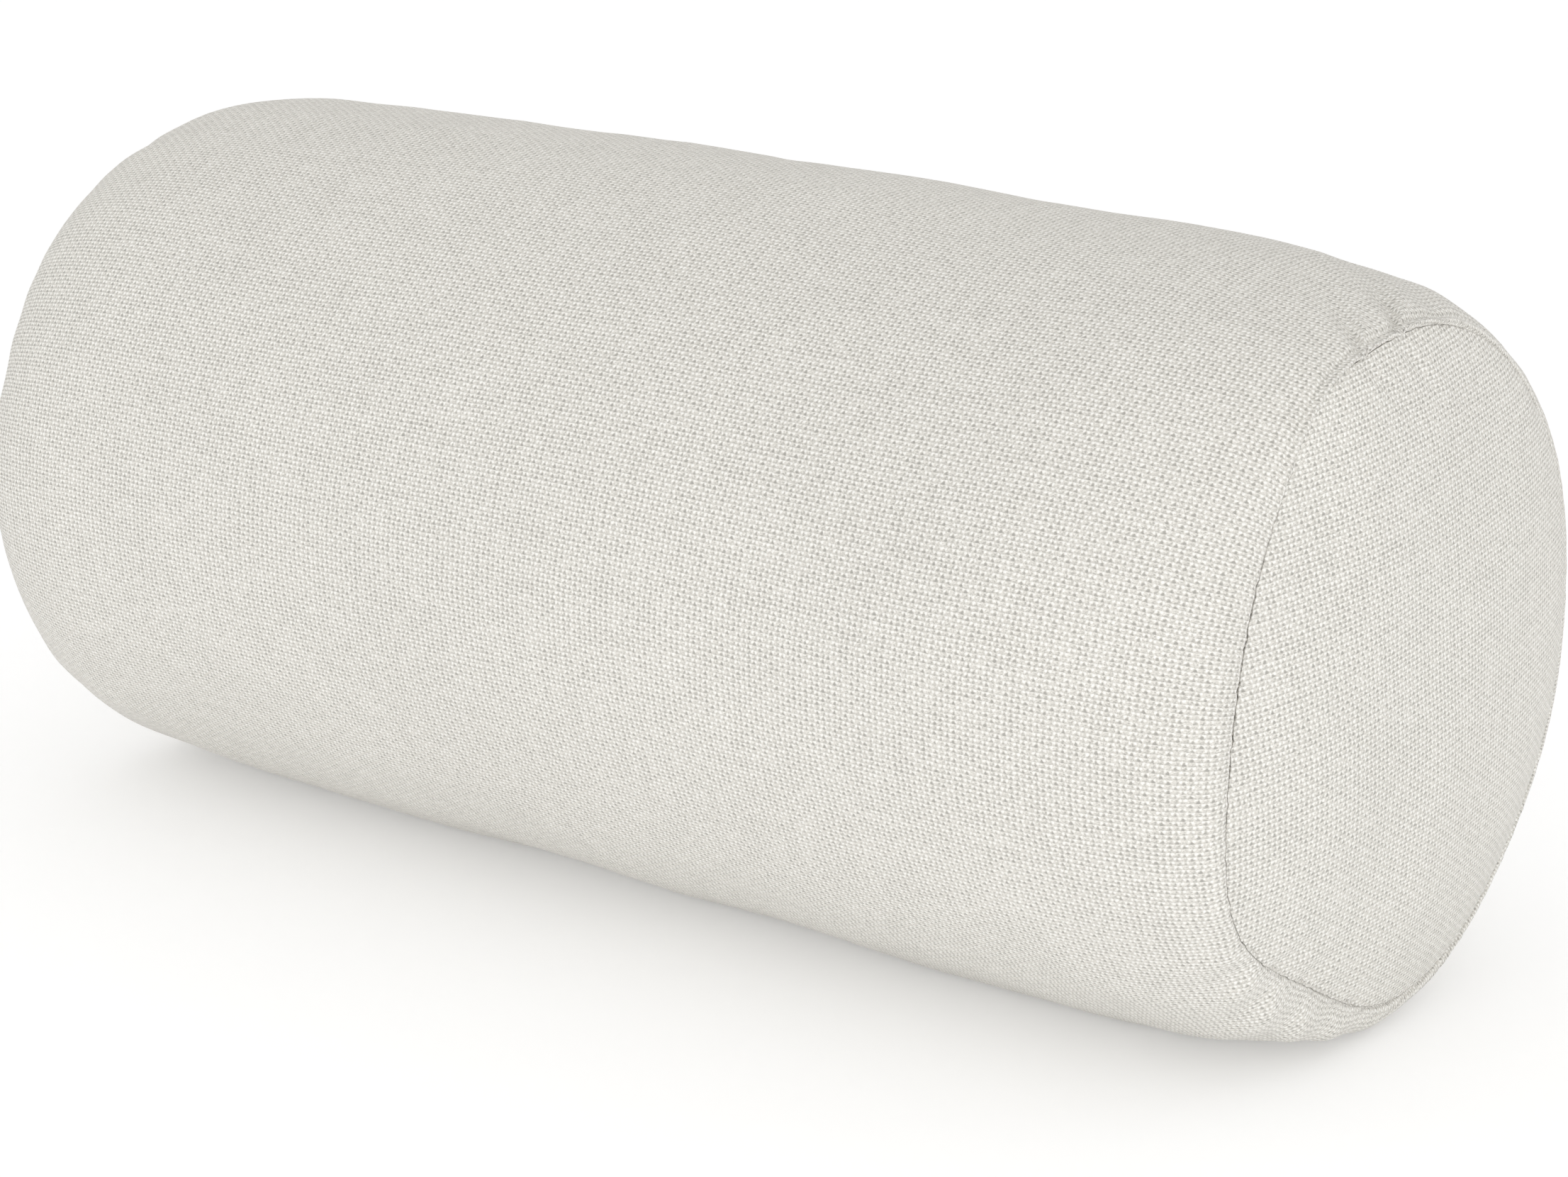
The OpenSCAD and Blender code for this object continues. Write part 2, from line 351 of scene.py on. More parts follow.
def cover_cloth():
    """Coarse ivory plain weave of spun polyester, with the light and shade on its threads painted into its
    colour.
    """
    m = Maker("cover_cloth")
    along, around, _ = m.split(m.attribute("weave"))
    wander = m.streaks(along * 0.16, around * 0.16) - 0.5
    tremor = m.streaks(along * 0.8, around * 0.6, 5.0) - 0.5
    along = along + (wander * 0.5 + tremor * 0.42)
    around = around + (tremor * 0.32 - wander * 0.4)
    relief_and_painted_light = knuckle_relief_and_painted_light(m, along, around)
    fibre = m.streaks(along * 3.4, around * 3.8, detail=4.0, roughness=0.75) - 0.5
    strands = m.streaks(along * 0.05, around * 0.9, 2.0) - 0.5
    bars = m.streaks(along * 0.9, around * 0.04, 9.0) - 0.5
    tone = relief_and_painted_light + (fibre * 4.4 + (strands * 0.35 + bars * 0.3))
    # colour from the weave's painted highlights and shadows, its fibres and the streaks of its threads
    colour = m.ramp(
        tone * 0.47 + 0.5,
        (0.0, (0.45, 0.437, 0.405)),
        (0.5, (0.765, 0.742, 0.69)),
        (0.86, (0.99, 0.98, 0.945)),
    )
    patch = m.remap(m.noise(m.position(), 11, 3.0), 0.3, 0.7, 0.985, 1.015)
    normal = m.bump(relief_and_painted_light + fibre * 2.0, 0.1 * MM)
    rough = m.remap(fibre, -0.2, 0.2, 0.74, 0.9)
    return m.finish(m.shade(colour, patch), rough, normal, sheen=0.1, specular=0.2)


def thread():
    m = Maker("sewing_thread")
    twist = m.noise(m.position(), 2600, 1.0)
    colour = m.ramp(twist, (0.3, (0.60, 0.575, 0.52)), (0.7, (0.82, 0.80, 0.745)))
    return m.finish(colour, 0.62, m.bump(twist, 0.05 * MM), sheen=0.2)


def herringbone_tape():
    """Fine twill whose slant turns back and forth across the tape."""
    m = Maker("zip_tape")
    along, across, _ = m.split(m.attribute("weave"))
    slant = m.math("PINGPONG", across, 3.0)
    phase = m.math("FRACT", along * 0.5 + slant * 0.5)
    rib = m.math("SINE", phase * math.pi)
    fibre = m.streaks(along * 3, across * 3, detail=2.0)
    # painted shade: the colour is darker in the grooves between the twill's ribs
    colour = m.ramp(rib * 0.75 + fibre * 0.25, (0.1, (0.62, 0.60, 0.55)), (0.85, (0.86, 0.84, 0.785)))
    return m.finish(colour, 0.75, m.bump(rib + fibre * 0.3, 0.12 * MM), sheen=0.15, specular=0.25)


def nylon():
    m = Maker("zip_coil")
    speck = m.noise(m.position(), 900)
    colour = m.ramp(speck, (0.2, (0.76, 0.74, 0.68)), (0.8, (0.84, 0.82, 0.76)))
    m.shader.inputs["Subsurface Weight"].default_value = 0.15
    m.shader.inputs["Subsurface Radius"].default_value = (0.001, 0.001, 0.0008)
    return m.finish(colour, m.remap(speck, 0.2, 0.8, 0.28, 0.4), m.bump(speck, 0.01 * MM), specular=0.5)


def nickel():
    """Satin nickel plate: fine brushing and small worn specks."""
    m = Maker("zip_metal")
    x, y, z = m.split(m.position())
    brushed = m.streaks(x * 400, y * 6000, z * 6000, detail=3.0)
    worn = m.noise(m.position(), 700, 3.0)
    colour = m.ramp(brushed * 0.4 + worn * 0.6, (0.3, (0.50, 0.49, 0.47)), (0.7, (0.68, 0.675, 0.66)))
    rough = m.remap(brushed + worn, 0.7, 1.3, 0.26, 0.42)
    return m.finish(colour, rough, m.bump(brushed, 0.01 * MM, 0.5), specular=0.5, metallic=1.0)


def satin():
    """Blank white satin ribbon: long smooth floats with a woven edge."""
    m = Maker("label_satin")
    along, across, _ = m.split(m.attribute("weave"))
    lines = m.streaks(along * 0.3, across * 4, detail=2.0)
    weft = m.math("SINE", across * (2 * math.pi))
    colour = m.ramp(lines, (0.3, (0.80, 0.80, 0.79)), (0.7, (0.9, 0.9, 0.89)))
    rough = m.remap(lines, 0.3, 0.7, 0.36, 0.5)
    return m.finish(colour, rough, m.bump(lines + weft * 0.3, 0.04 * MM), sheen=0.3, specular=0.5)


def cotton():
    """Fine white liner cloth."""
    m = Maker("liner_cloth")
    height = plain_weave(m, m.attribute("weave"), 0.4, 0.5)
    patch = m.remap(m.noise(m.position(), 20, 3.0), 0.3, 0.7, 0.97, 1.02)
    # painted shade: the colour is darker in the weave's gaps and lighter on its knuckles
    colour = m.ramp(height, (0.1, (0.66, 0.66, 0.64)), (0.9, (0.88, 0.88, 0.86)))
    return m.finish(m.shade(colour, patch), 0.85, m.bump(height, 0.12 * MM), sheen=0.1)


def fibre_wadding():
    """Loose polyester fibre: streaks that cross each other over soft lumps."""
    m = Maker("wadding")
    place = m.position()
    bend = m.noise(place, 60)
    x, y, z = m.split(place)
    first = m.streaks(x * 90, y * 2600 + bend * 8, z * 2600, detail=3.0)
    second = m.streaks(x * 2600 + bend * 9, y * 120, z * 500, detail=3.0)
    fibres = m.math("MAXIMUM", first, second)
    lumps = m.noise(place, 45, 3.0)
    colour = m.ramp(fibres, (0.35, (0.70, 0.70, 0.70)), (0.7, (0.93, 0.93, 0.93)))
    return m.finish(colour, 0.9, m.bump(fibres * 0.6 + lumps, 0.9 * MM), sheen=0.35, specular=0.15)


def cut_foam():
    """Open-cell upholstery foam, with small pores and yellowed patches."""
    m = Maker("foam")
    cells = m.node("ShaderNodeTexVoronoi")
    m.put(cells.inputs["Vector"], m.position())
    cells.inputs["Scale"].default_value = 850
    pores = m.remap(m.out(cells, "Distance"), 0.1, 0.6, 1.0, 0.0)
    patch = m.noise(m.position(), 14, 3.0)
    colour = m.ramp(patch, (0.3, (0.86, 0.80, 0.56)), (0.7, (0.90, 0.85, 0.64)))
    # painted shade: the colour is darker in the pores
    tone = m.remap(pores, 0, 1, 1.03, 0.72)
    return m.finish(m.shade(colour, tone), 0.92, m.bump(1 - pores, 0.5 * MM), specular=0.15)


# --------------------------------------------------------------------------------------------- mesh makers


def build(name, points, faces, material, weave=None):
    """A smooth-shaded mesh object, with thread counts as an attribute where it is woven."""
    mesh = bpy.data.meshes.new(name)
    mesh.from_pydata(np.asarray(points).tolist(), [], np.asarray(faces).tolist() if len(faces) else [])
    if weave is not None:
        layer = mesh.attributes.new("weave", "FLOAT_VECTOR", "POINT")
        counts = np.zeros((len(mesh.vertices), 3), np.float32)
        counts[:, :2] = weave
        layer.data.foreach_set("vector", counts.ravel())
    shape = bmesh.new()
    shape.from_mesh(mesh)
    bmesh.ops.recalc_face_normals(shape, faces=shape.faces)
    shape.to_mesh(mesh)
    shape.free()
    mesh.polygons.foreach_set("use_smooth", [True] * len(mesh.polygons))
    mesh.materials.append(material)
    return add_object(name, mesh)


def put_on(piece, body, slot, *nodes):
    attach(piece, body)
    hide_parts(*nodes)
    return piece


def grid_faces(rows, columns, wrap=False):
    """Quads of a grid of points numbered row by row. wrap joins its last column to its first."""
    index = np.arange(rows * columns).reshape(rows, columns)
    if wrap:
        index = np.concatenate([index, index[:, :1]], axis=1)
    return np.stack([index[:-1, :-1], index[:-1, 1:], index[1:, 1:], index[1:, :-1]], axis=-1).reshape(-1, 4)


def quads_between(a, b):
    """Quads between two closed loops of point numbers."""
    return np.stack([a, np.roll(a, -1), np.roll(b, -1), b], axis=-1)


def point_normals(points, faces):
    corners = points[faces]
    face_normal = np.cross(corners[:, 2] - corners[:, 0], corners[:, 3] - corners[:, 1])
    normal = np.zeros_like(points)
    for corner in range(4):
        np.add.at(normal, faces[:, corner], face_normal)
    return normal / np.maximum(np.linalg.norm(normal, axis=1, keepdims=True), 1e-15)


def border_edges(faces):
    """Edges that only one face has, in that face's direction."""
    edges = np.concatenate([faces[:, [k, (k + 1) % 4]] for k in range(4)])
    key = np.sort(edges, axis=1)
    _, place, count = np.unique(key, axis=0, return_index=True, return_counts=True)
    return edges[place[count == 1]]


def thicken(points, faces, thickness, weave=None):
    """A closed shell: the given surface outside, its copy inside, and the borders joined."""
    inner = points - point_normals(points, faces) * np.asarray(thickness).reshape(-1, 1)
    count = len(points)
    edges = border_edges(faces)
    rim = np.stack([edges[:, 1], edges[:, 0], edges[:, 0] + count, edges[:, 1] + count], axis=-1)
    shell = np.concatenate([faces, faces[:, ::-1] + count, rim])
    return np.concatenate([points, inner]), shell, None if weave is None else np.concatenate([weave, weave])


def tube(path, radius, sides, closed=False, flat=1.0):
    """Points and quads of a round thread or wire along a path. Open ends are closed by a small point."""
    path = np.asarray(path, float)
    ahead = np.roll(path, -1, axis=0) - np.roll(path, 1, axis=0)
    if not closed:
        ahead[0], ahead[-1] = path[1] - path[0], path[-1] - path[-2]
    ahead /= np.linalg.norm(ahead, axis=1, keepdims=True)
    across = np.zeros_like(path)
    start = np.cross(ahead[0], (0.3, 0.2, 0.93))
    across[0] = start / np.linalg.norm(start)
    for k in range(1, len(path)):
        side_way = across[k - 1] - ahead[k] * np.dot(across[k - 1], ahead[k])
        across[k] = side_way / np.linalg.norm(side_way)
    other = np.cross(ahead, across)
    turn = 2 * math.pi * np.arange(sides) / sides
    taper = np.ones(len(path))
    if not closed:
        taper[0] = taper[-1] = 0.25
    ring = np.cos(turn)[None, :, None] * across[:, None]
    ring = ring + flat * np.sin(turn)[None, :, None] * other[:, None]
    points = (path[:, None] + radius * taper[:, None, None] * ring).reshape(-1, 3)
    rows = len(path)
    faces = grid_faces(rows, sides, wrap=True)
    if closed:
        index = np.arange(rows * sides).reshape(rows, sides)
        last, first = index[-1], index[0]
        best = np.argmin(np.linalg.norm(points[first][None] - points[last[0]], axis=-1))
        faces = np.concatenate([faces, quads_between(last, np.roll(first, -best))])
    else:
        caps = []
        for row, order in ((0, 1), (rows - 1, -1)):
            corner = row * sides + np.arange(sides)[::order]
            caps += [[corner[0], corner[k], corner[k + 1], corner[k + 2]] for k in range(1, sides - 2, 2)]
        faces = np.concatenate([faces, np.array(caps)])
    return points, faces[:, ::-1]


def gather(parts):
    """Joins several (points, faces) into one."""
    points, faces, count = [], [], 0
    for part_points, part_faces in parts:
        points.append(part_points)
        faces.append(part_faces + count)
        count += len(part_points)
    return np.concatenate(points), np.concatenate(faces)


def ripples(u, v, wavelength, seed, count=14):
    """Soft seeded unevenness, about -1 to 1, over a surface whose coordinates are in metres."""
    random = np.random.default_rng(seed)
    total = np.zeros(np.broadcast(u, v).shape)
    for _ in range(count):
        way, phase = random.uniform(0, math.pi), random.uniform(0, 2 * math.pi)
        wave = 2 * math.pi / (wavelength * random.uniform(0.7, 1.5))
        total += np.cos(wave * (u * math.cos(way) + v * math.sin(way)) + phase)
    return total / math.sqrt(count)


# ----------------------------------------------------------------------------------------- bolster's shape

# The ends lie lower than the middle by DROP. The cloth rolls into the end seam with the radius ROLL, and goes
# in by TUCK. SEAM_MM is the end seam's plain radius in mm, before its corners and flats.
DROP = 2 * MM
ROLL = 0.55 * MM
TUCK = 2.4 * MM
SEAM_MM = 76.3


def near(theta, centre_deg, width_deg):
    """1 at an angle, falling to 0 away from it."""
    off = np.angle(np.exp(1j * (theta - math.radians(centre_deg))))
    return np.exp(-0.5 * (off / math.radians(width_deg)) ** 2)


# How far the seam stands out from or in to a true circle: (angle in degrees, width in degrees, mm).
# Seen from the right: a corner above the front, a flat front, fuller low down, and drawn in by the folds.
RIGHT_SEAM = [(60, 10, 5), (90, 20, 2), (15, 20, -3), (-25, 12, 4), (-60, 18, -5), (-110, 20, 2),
              (140, 30, -3)]
LEFT_SEAM = [(68, 22, 2.8), (-50, 20, 2.4), (5, 28, -1.4)]


def stitch_wobble(theta, phase):
    """The seam's small jogs from stitch to stitch."""
    waves = sum(np.cos(count * theta + turn * phase) for count, turn in ((151, 1), (109, 2.1), (67, 3.3)))
    return 0.06 * MM * waves


def seam_radius(theta, side, wobble=1.0):
    """wobble is the share of the stitches' jogs, which fade away from the seam."""
    places = RIGHT_SEAM if side > 0 else LEFT_SEAM
    bumps = sum(height * near(theta, at, width) for at, width, height in places)
    wander = 0.15 * np.cos(9 * theta) + (0.4 * np.cos(3 * theta + 1.1) if side < 0 else 0)
    return (SEAM_MM + bumps + wander) * MM + wobble * stitch_wobble(theta, side)


def seam_x(theta, side, wobble=1.0):
    """Distance of the seam from the middle of the bolster."""
    wander = 0.5 * np.cos(2 * theta + side) + 0.3 * np.cos(5 * theta + 0.7)
    return HALF_SPAN + wander * MM + wobble * stitch_wobble(theta, side + 1.5)


def shoulder_width(theta, side):
    """The side panel curves in over this length. The zip keeps the back straighter."""
    at_back = near(theta, 180, 28)
    free = 70 if side > 0 else 54
    return (free * (1 - at_back) + 44 * at_back) * MM


def off_zip(theta):
    """0 at the zip, which keeps the back straight, and 1 away from it."""
    return 1 - near(theta, 180, 26)


def shoulder_power(theta, side):
    """Power of the shoulder's curve: 2 is an ellipse, and less is a flatter slope down to the seam."""
    return 2.2 + (0.7 * near(theta, -66, 24) - 0.5 * near(theta, 122, 26) if side > 0 else 0 * theta)


def crown(x, theta):
    """The filling makes the middle of the bolster a little fatter, most of all above."""
    height = 0.4 + 0.35 * np.sin(theta)
    return height * MM * np.exp(-((x + 35 * MM) / (95 * MM)) ** 2) * off_zip(theta)


def sag(x, theta, from_seam):
    """The right half of the bolster settles lower than its end ring."""
    rightward = np.clip((x - 5 * MM) / (115 * MM), 0, 1)
    depth = (1.7 + 0.6 * np.sin(theta)) * off_zip(theta)
    return depth * MM * rightward ** 2 * (3 - 2 * rightward) * (1 - np.exp(-from_seam / (14 * MM)))


def placed(x, r, theta, drop):
    """Points at a radius about the axis, lowered by drop, with the underside pressed flat on the floor."""
    z = AXIS_Z + r * np.sin(theta) - drop
    soft = 1.5 * MM
    z = np.where(z > soft, z, soft * np.exp(np.minimum(z / soft - 1, 0)))
    x, y, z = np.broadcast_arrays(x, -r * np.cos(theta), z)
    return np.stack([x, y, z], axis=-1)


# Dents in the cap's cloth, deepest 1 mm from the seam: (angle and half width in degrees, share of DENT_MM)
DENT_MM = 2.4
RIGHT_DENTS = [(-36, 1.2, 0.24), (-44.5, 1.3, 0.26), (-50, 0.9, 0.12), (-55.5, 1.4, 0.3), (-61, 1.2, 0.26),
               (-67, 0.9, 0.12), (-74, 1.8, 0.26), (-13, 0.8, 0.1)]
LEFT_DENTS = [(-40, 1.0, 0.3), (24, 0.9, 0.25), (31, 0.8, 0.2), (70, 1.0, 0.25), (205, 1.0, 0.3)]


def gap(theta, side):
    """Half the opening between the two cloths at the seam: the front of the right end gapes in dashes."""
    dashes = 0.7 + 0.3 * (np.cos(131 * theta + side) + np.cos(89 * theta) + np.cos(53 * theta + 1))
    front = (0.52 if side > 0 else 0.15) * near(theta, 18, 17) * np.clip(dashes, 0.1, 1.3)
    front += 0.1 * near(theta, 60, 12)
    return (0.01 + front) * MM


def lip(theta, side):
    """How far the side panel rolls out over the end panel."""
    right = 0.45 * near(theta, 72, 22) + 0.4 * near(theta, -88, 22) + 0.3 * near(theta, 215, 20)
    left = 0.5 * near(theta, 250, 40) + 0.4 * near(theta, 70, 40)
    return (right if side > 0 else left) * MM


def bead(theta, side):
    """Height of the ridge where the side panel's edge is folded over the seam allowance."""
    right = 1.3 * near(theta, 76, 20) + 0.6 * near(theta, -92, 20) + 0.3 * near(theta, -50, 14)
    left = 0.7 * near(theta, 250, 40) + 0.7 * near(theta, 80, 40)
    return 1.2 * MM * np.minimum(right if side > 0 else left, 1)


def side_profile(side):
    """Ring functions of the side panel from the tuck at one end to where its middle begins: each takes theta
    and gives the distance from the middle, the radius and the drop."""

    def tuck(depth):
        def ring(theta):
            rim, x = seam_radius(theta, side), seam_x(theta, side)
            opening = gap(theta, side) * SLANT
            return (x + ROLL * (math.cos(math.pi / 4) - 1) - SLANT * depth - opening,
                    rim - ROLL * math.sin(math.pi / 4) - SLANT * depth + opening, DROP)
        return ring

    def roll(turn):
        def ring(theta):
            rim, x = seam_radius(theta, side), seam_x(theta, side)
            opening = gap(theta, side) * SLANT * math.sin(turn) ** 2 * 2
            over = lip(theta, side) * math.cos(2 * turn) ** 2
            ridge = 0.3 * bead(theta, side) * math.cos(2 * turn) ** 2
            return (x + ROLL * (math.cos(turn) - 1) + over + ridge - opening,
                    rim - ROLL * math.sin(turn) + ridge + opening, DROP)
        return ring

    def shoulder(a):
        def ring(theta):
            power = 2 / shoulder_power(theta, side)
            rim = seam_radius(theta, side, 0)
            rise = math.sin(a * math.pi / 2) ** power
            inward = shoulder_width(theta, side) * (1 - math.cos(a * math.pi / 2) ** power)
            away = (RADIUS - rim) * rise + inward
            wobble = np.exp(-away / (2.5 * MM))
            radius = seam_radius(theta, side, wobble) + (RADIUS - rim) * rise
            over = lip(theta, side) * np.exp(-away / (2.2 * MM))
            ridge = bead(theta, side) * (0.75 * np.exp(-((away - 0.6 * MM) / (0.65 * MM)) ** 2)
                                         - 0.4 * np.exp(-((away - 2.6 * MM) / (1.1 * MM)) ** 2))
            return seam_x(theta, side, wobble) - inward + over + ridge, radius + ridge, DROP * (1 - rise)
        return ring

    shoulder_rings = 27
    steps = (np.arange(1, shoulder_rings + 1) / shoulder_rings) ** 1.6
    # more rings where the zip's slot ends, at the back
    from_seam = HALF_SPAN - SLOT_HALF + np.array([-1.5, -0.9, -0.3, 0.3, 0.9, 1.5]) * MM
    inward = from_seam / shoulder_width(math.pi, side)
    slot_steps = np.arccos((1 - inward) ** (shoulder_power(math.pi, side) / 2)) * 2 / math.pi
    steps = np.sort(np.concatenate([steps, slot_steps]))
    return ([tuck(depth) for depth in (TUCK, 0.6 * TUCK, 0.2 * TUCK)]
            + [roll(turn) for turn in (math.pi / 4, math.pi / 8, 0)]
            + [shoulder(a) for a in steps])


# A pucker is (angle in degrees, width, length and depth in mm, lean). The seam pulls it into the cloth, and
# it drifts round the bolster by its lean times its distance from the seam.
RIGHT_PUCKERS = [
    (70, 1.7, 22, 2.0, 0.7), (81, 2.0, 24, 2.4, 0.75), (95, 3.4, 26, 1.0, 0.4), (56, 3.4, 12, 0.35, 0.2),
    (124, 4.0, 18, 0.3, 0.2), (-27, 3.4, 14, 0.6, -0.2), (-36, 3.2, 24, 1.8, -0.35),
    (-44.5, 3.4, 28, 2.1, -0.35), (-55.5, 4.0, 30, 2.1, -0.35), (-66.5, 4.2, 26, 1.6, -0.3),
    (-78, 5.0, 18, 0.9, -0.2), (36, 3.0, 8, 0.2, 0),
]
LEFT_PUCKERS = [
    (70, 5.0, 26, 0.7, 0.4), (100, 4.0, 22, 0.6, 0.5), (-40, 4.0, 26, 0.8, -0.6), (20, 3.5, 14, 0.4, 0),
    (-70, 4.0, 20, 0.6, -0.4), (205, 4.0, 16, 0.5, 0.2),
]


def all_puckers(side):
    """The large puckers, and small ones at every few stitches round the seam."""
    random = np.random.default_rng(21 + side)
    angles = np.arange(0, 360, 5.2) + random.uniform(-1.8, 1.8, 70)
    small = [(angle, random.uniform(1.8, 3.2), random.uniform(3, 11), random.uniform(0.05, 0.34),
              random.uniform(-0.4, 0.4)) for angle in angles]
    return (RIGHT_PUCKERS if side > 0 else LEFT_PUCKERS) + small


def pucker_depth(theta, distance, side, reach=1.0):
    """How far the puckers draw the cloth in, at a distance from the seam."""
    total = np.zeros(np.broadcast(theta, distance).shape)
    arc = seam_radius(theta, side)
    for angle, width, length, depth, lean in all_puckers(side):
        off = np.angle(np.exp(1j * (theta - math.radians(angle)))) * arc - lean * distance
        spread = width * MM + 0.09 * distance
        fade = np.exp(-(distance / (length * MM * reach)) ** 1.3)
        fade = fade * (1 - 0.96 * np.exp(-(distance / (3.4 * MM)) ** 2))
        total += depth * MM * (1 - (off / spread) ** 2) * np.exp(-0.5 * (off / spread) ** 2) * fade
    return total


# ---------------------------------------------------------------------------------------- cloth simulation

FILL_CELLS = 30
fill_theta = 2 * math.pi * np.arange(4 * FILL_CELLS) / (4 * FILL_CELLS)

# The simulation has SWELL_ROWS rings, and its swelling is kept up to SWELL_CAP. Its cloth is fuller beside
# the seams by the share GATHER, fading over GATHER_REACH. swell holds what simulate_filling found.
SWELL_ROWS = 77
SWELL_CAP = 1.3 * MM
GATHER = 0.03
GATHER_REACH = 26 * MM
swell = {}


def spline_sample(grid, row, column):
    """Smooth value of a grid at fractional rows and columns, its columns meeting end to end."""
    rows, columns = grid.shape
    row = np.clip(row, 0, rows - 1)

    def weights(t):
        return ((1 - t) ** 3 / 6, (3 * t ** 3 - 6 * t ** 2 + 4) / 6,
                (1 + 3 * t + 3 * t ** 2 - 3 * t ** 3) / 6, t ** 3 / 6)

    first_row, first_column = np.floor(row).astype(int), np.floor(column).astype(int)
    total = 0.0
    for i, row_weight in enumerate(weights(row - first_row)):
        at_row = np.clip(first_row + i - 1, 0, rows - 1)
        for j, column_weight in enumerate(weights(column - first_column)):
            at_column = (first_column + j - 1) % columns
            total = total + row_weight * column_weight * grid[at_row, at_column]
    return total


def swelling(x, theta):
    """How far the simulated filling pushes the side panel out."""
    if "side" not in swell:
        return 0.0
    row = (x / np.where(x > 0, seam_x(theta, 1), seam_x(theta, -1)) + 1) / 2
    return spline_sample(swell["side"], row * (SWELL_ROWS - 1), theta / (2 * math.pi) * len(fill_theta))


def end_swelling(share, theta, side):
    """How far the simulated filling pushes an end panel out, at a share of its radius."""
    if side not in swell:
        return 0.0
    seen_u, seen_v, seen = swell[side]
    u, v = np.ravel(share * np.cos(theta)), np.ravel(share * np.sin(theta))
    nearness = np.exp(-((u[:, None] - seen_u) ** 2 + (v[:, None] - seen_v) ** 2) / 0.22 ** 2)
    out = nearness @ seen / nearness.sum(axis=1)
    return 0.7 * out.reshape(np.shape(share)) * (1 - share ** 4)


def simulate_filling(material):
    """Inflates a slightly smaller copy of the closed cover with Blender's Cloth, and keeps how far each part
    of it moves out. Its end seams, zip and underside are held."""
    rings = []
    for share in np.linspace(-1, 1, SWELL_ROWS):
        side = 1 if share > 0 else -1
        x = side * seam_x(fill_theta, side) * abs(share)
        r, drop = body_radius(np.abs(x), fill_theta, side, 1.5 * MM)
        centre = np.array([np.mean(x), 0, AXIS_Z - np.mean(drop)])
        points = placed(x, r, fill_theta, drop)
        rings.append({"points": points, "centre": centre, "dome": side * DOME if abs(share) == 1 else 0.0})
    points, faces = capped_solid(rings, FILL_CELLS)
    helper = build("filling_helper", points, faces, material)

    disc_count = (FILL_CELLS + 1) ** 2
    border = disc_grid(FILL_CELLS)[3]
    height = points[:, 2] - AXIS_Z
    zip_band = (points[:, 1] > 0) & (np.abs(height) < 15 * MM) & (np.abs(points[:, 0]) < SLOT_HALF + 5 * MM)
    on_floor = points[:, 2] < 3 * MM
    held = np.concatenate([border, border + disc_count, np.nonzero(zip_band | on_floor)[0]])
    helper.vertex_groups.new(name="held").add([int(k) for k in held], 1.0, "REPLACE")
    from_seam = np.abs(np.abs(points[:, 0]) - HALF_SPAN)
    from_seam[:2 * disc_count] = RADIUS - np.hypot(points[:2 * disc_count, 1], height[:2 * disc_count])
    tight = helper.vertex_groups.new(name="tight")
    for number, weight in enumerate((1 - np.exp(-(from_seam / GATHER_REACH) ** 2)).tolist()):
        tight.add([number], weight, "REPLACE")
    cloth_settings = helper.modifiers.new("cloth", "CLOTH").settings
    cloth_settings.quality = 6
    cloth_settings.mass = 0.3
    cloth_settings.tension_stiffness = cloth_settings.compression_stiffness = 20
    cloth_settings.shear_stiffness = 8
    cloth_settings.bending_stiffness = 1.5
    cloth_settings.vertex_group_shrink = "tight"
    cloth_settings.shrink_min = -GATHER
    cloth_settings.shrink_max = 0
    cloth_settings.use_pressure = True
    cloth_settings.uniform_pressure_force = 4
    cloth_settings.effector_weights.gravity = 0
    cloth_settings.vertex_group_mass = "held"

    scene = bpy.context.scene
    for step in range(1, 21):
        scene.frame_set(step)
    moved = helper.evaluated_get(bpy.context.evaluated_depsgraph_get()).to_mesh()
    place = np.empty(len(points) * 3)
    moved.vertices.foreach_get("co", place)
    shift = place.reshape(-1, 3) - points
    bpy.data.objects.remove(helper)
    scene.frame_set(1)

    columns = len(fill_theta)
    between = 2 * disc_count + np.arange((SWELL_ROWS - 2) * columns)
    order = np.concatenate([border, between, border + disc_count])
    out = np.stack([0 * fill_theta, -np.cos(fill_theta), np.sin(fill_theta)], axis=-1)
    side_shift = np.sum(shift[order].reshape(SWELL_ROWS, columns, 3) * out, axis=-1)
    side_shift -= side_shift.mean(axis=1, keepdims=True)
    swell["side"] = SWELL_CAP * np.tanh(side_shift / SWELL_CAP)
    for side, first in ((-1, 0), (1, disc_count)):
        bulge = side * shift[first:first + disc_count, 0]
        swell[side] = (*disc_grid(FILL_CELLS)[:2], SWELL_CAP * np.tanh((bulge - bulge.mean()) / SWELL_CAP))


# ------------------------------------------------------------------------------------------- cover's cloth


def hem_gap(x):
    """Half the width of the opening at the back: the zip's slot, closing to the back seam beyond it."""
    past = np.clip((np.abs(x) - SLOT_HALF + 1.1 * MM) / (2.2 * MM), 0, 1)
    ease = past * past * (3 - 2 * past)
    return 0.5 * SLOT_W * (1 - ease) + 0.06 * MM * ease


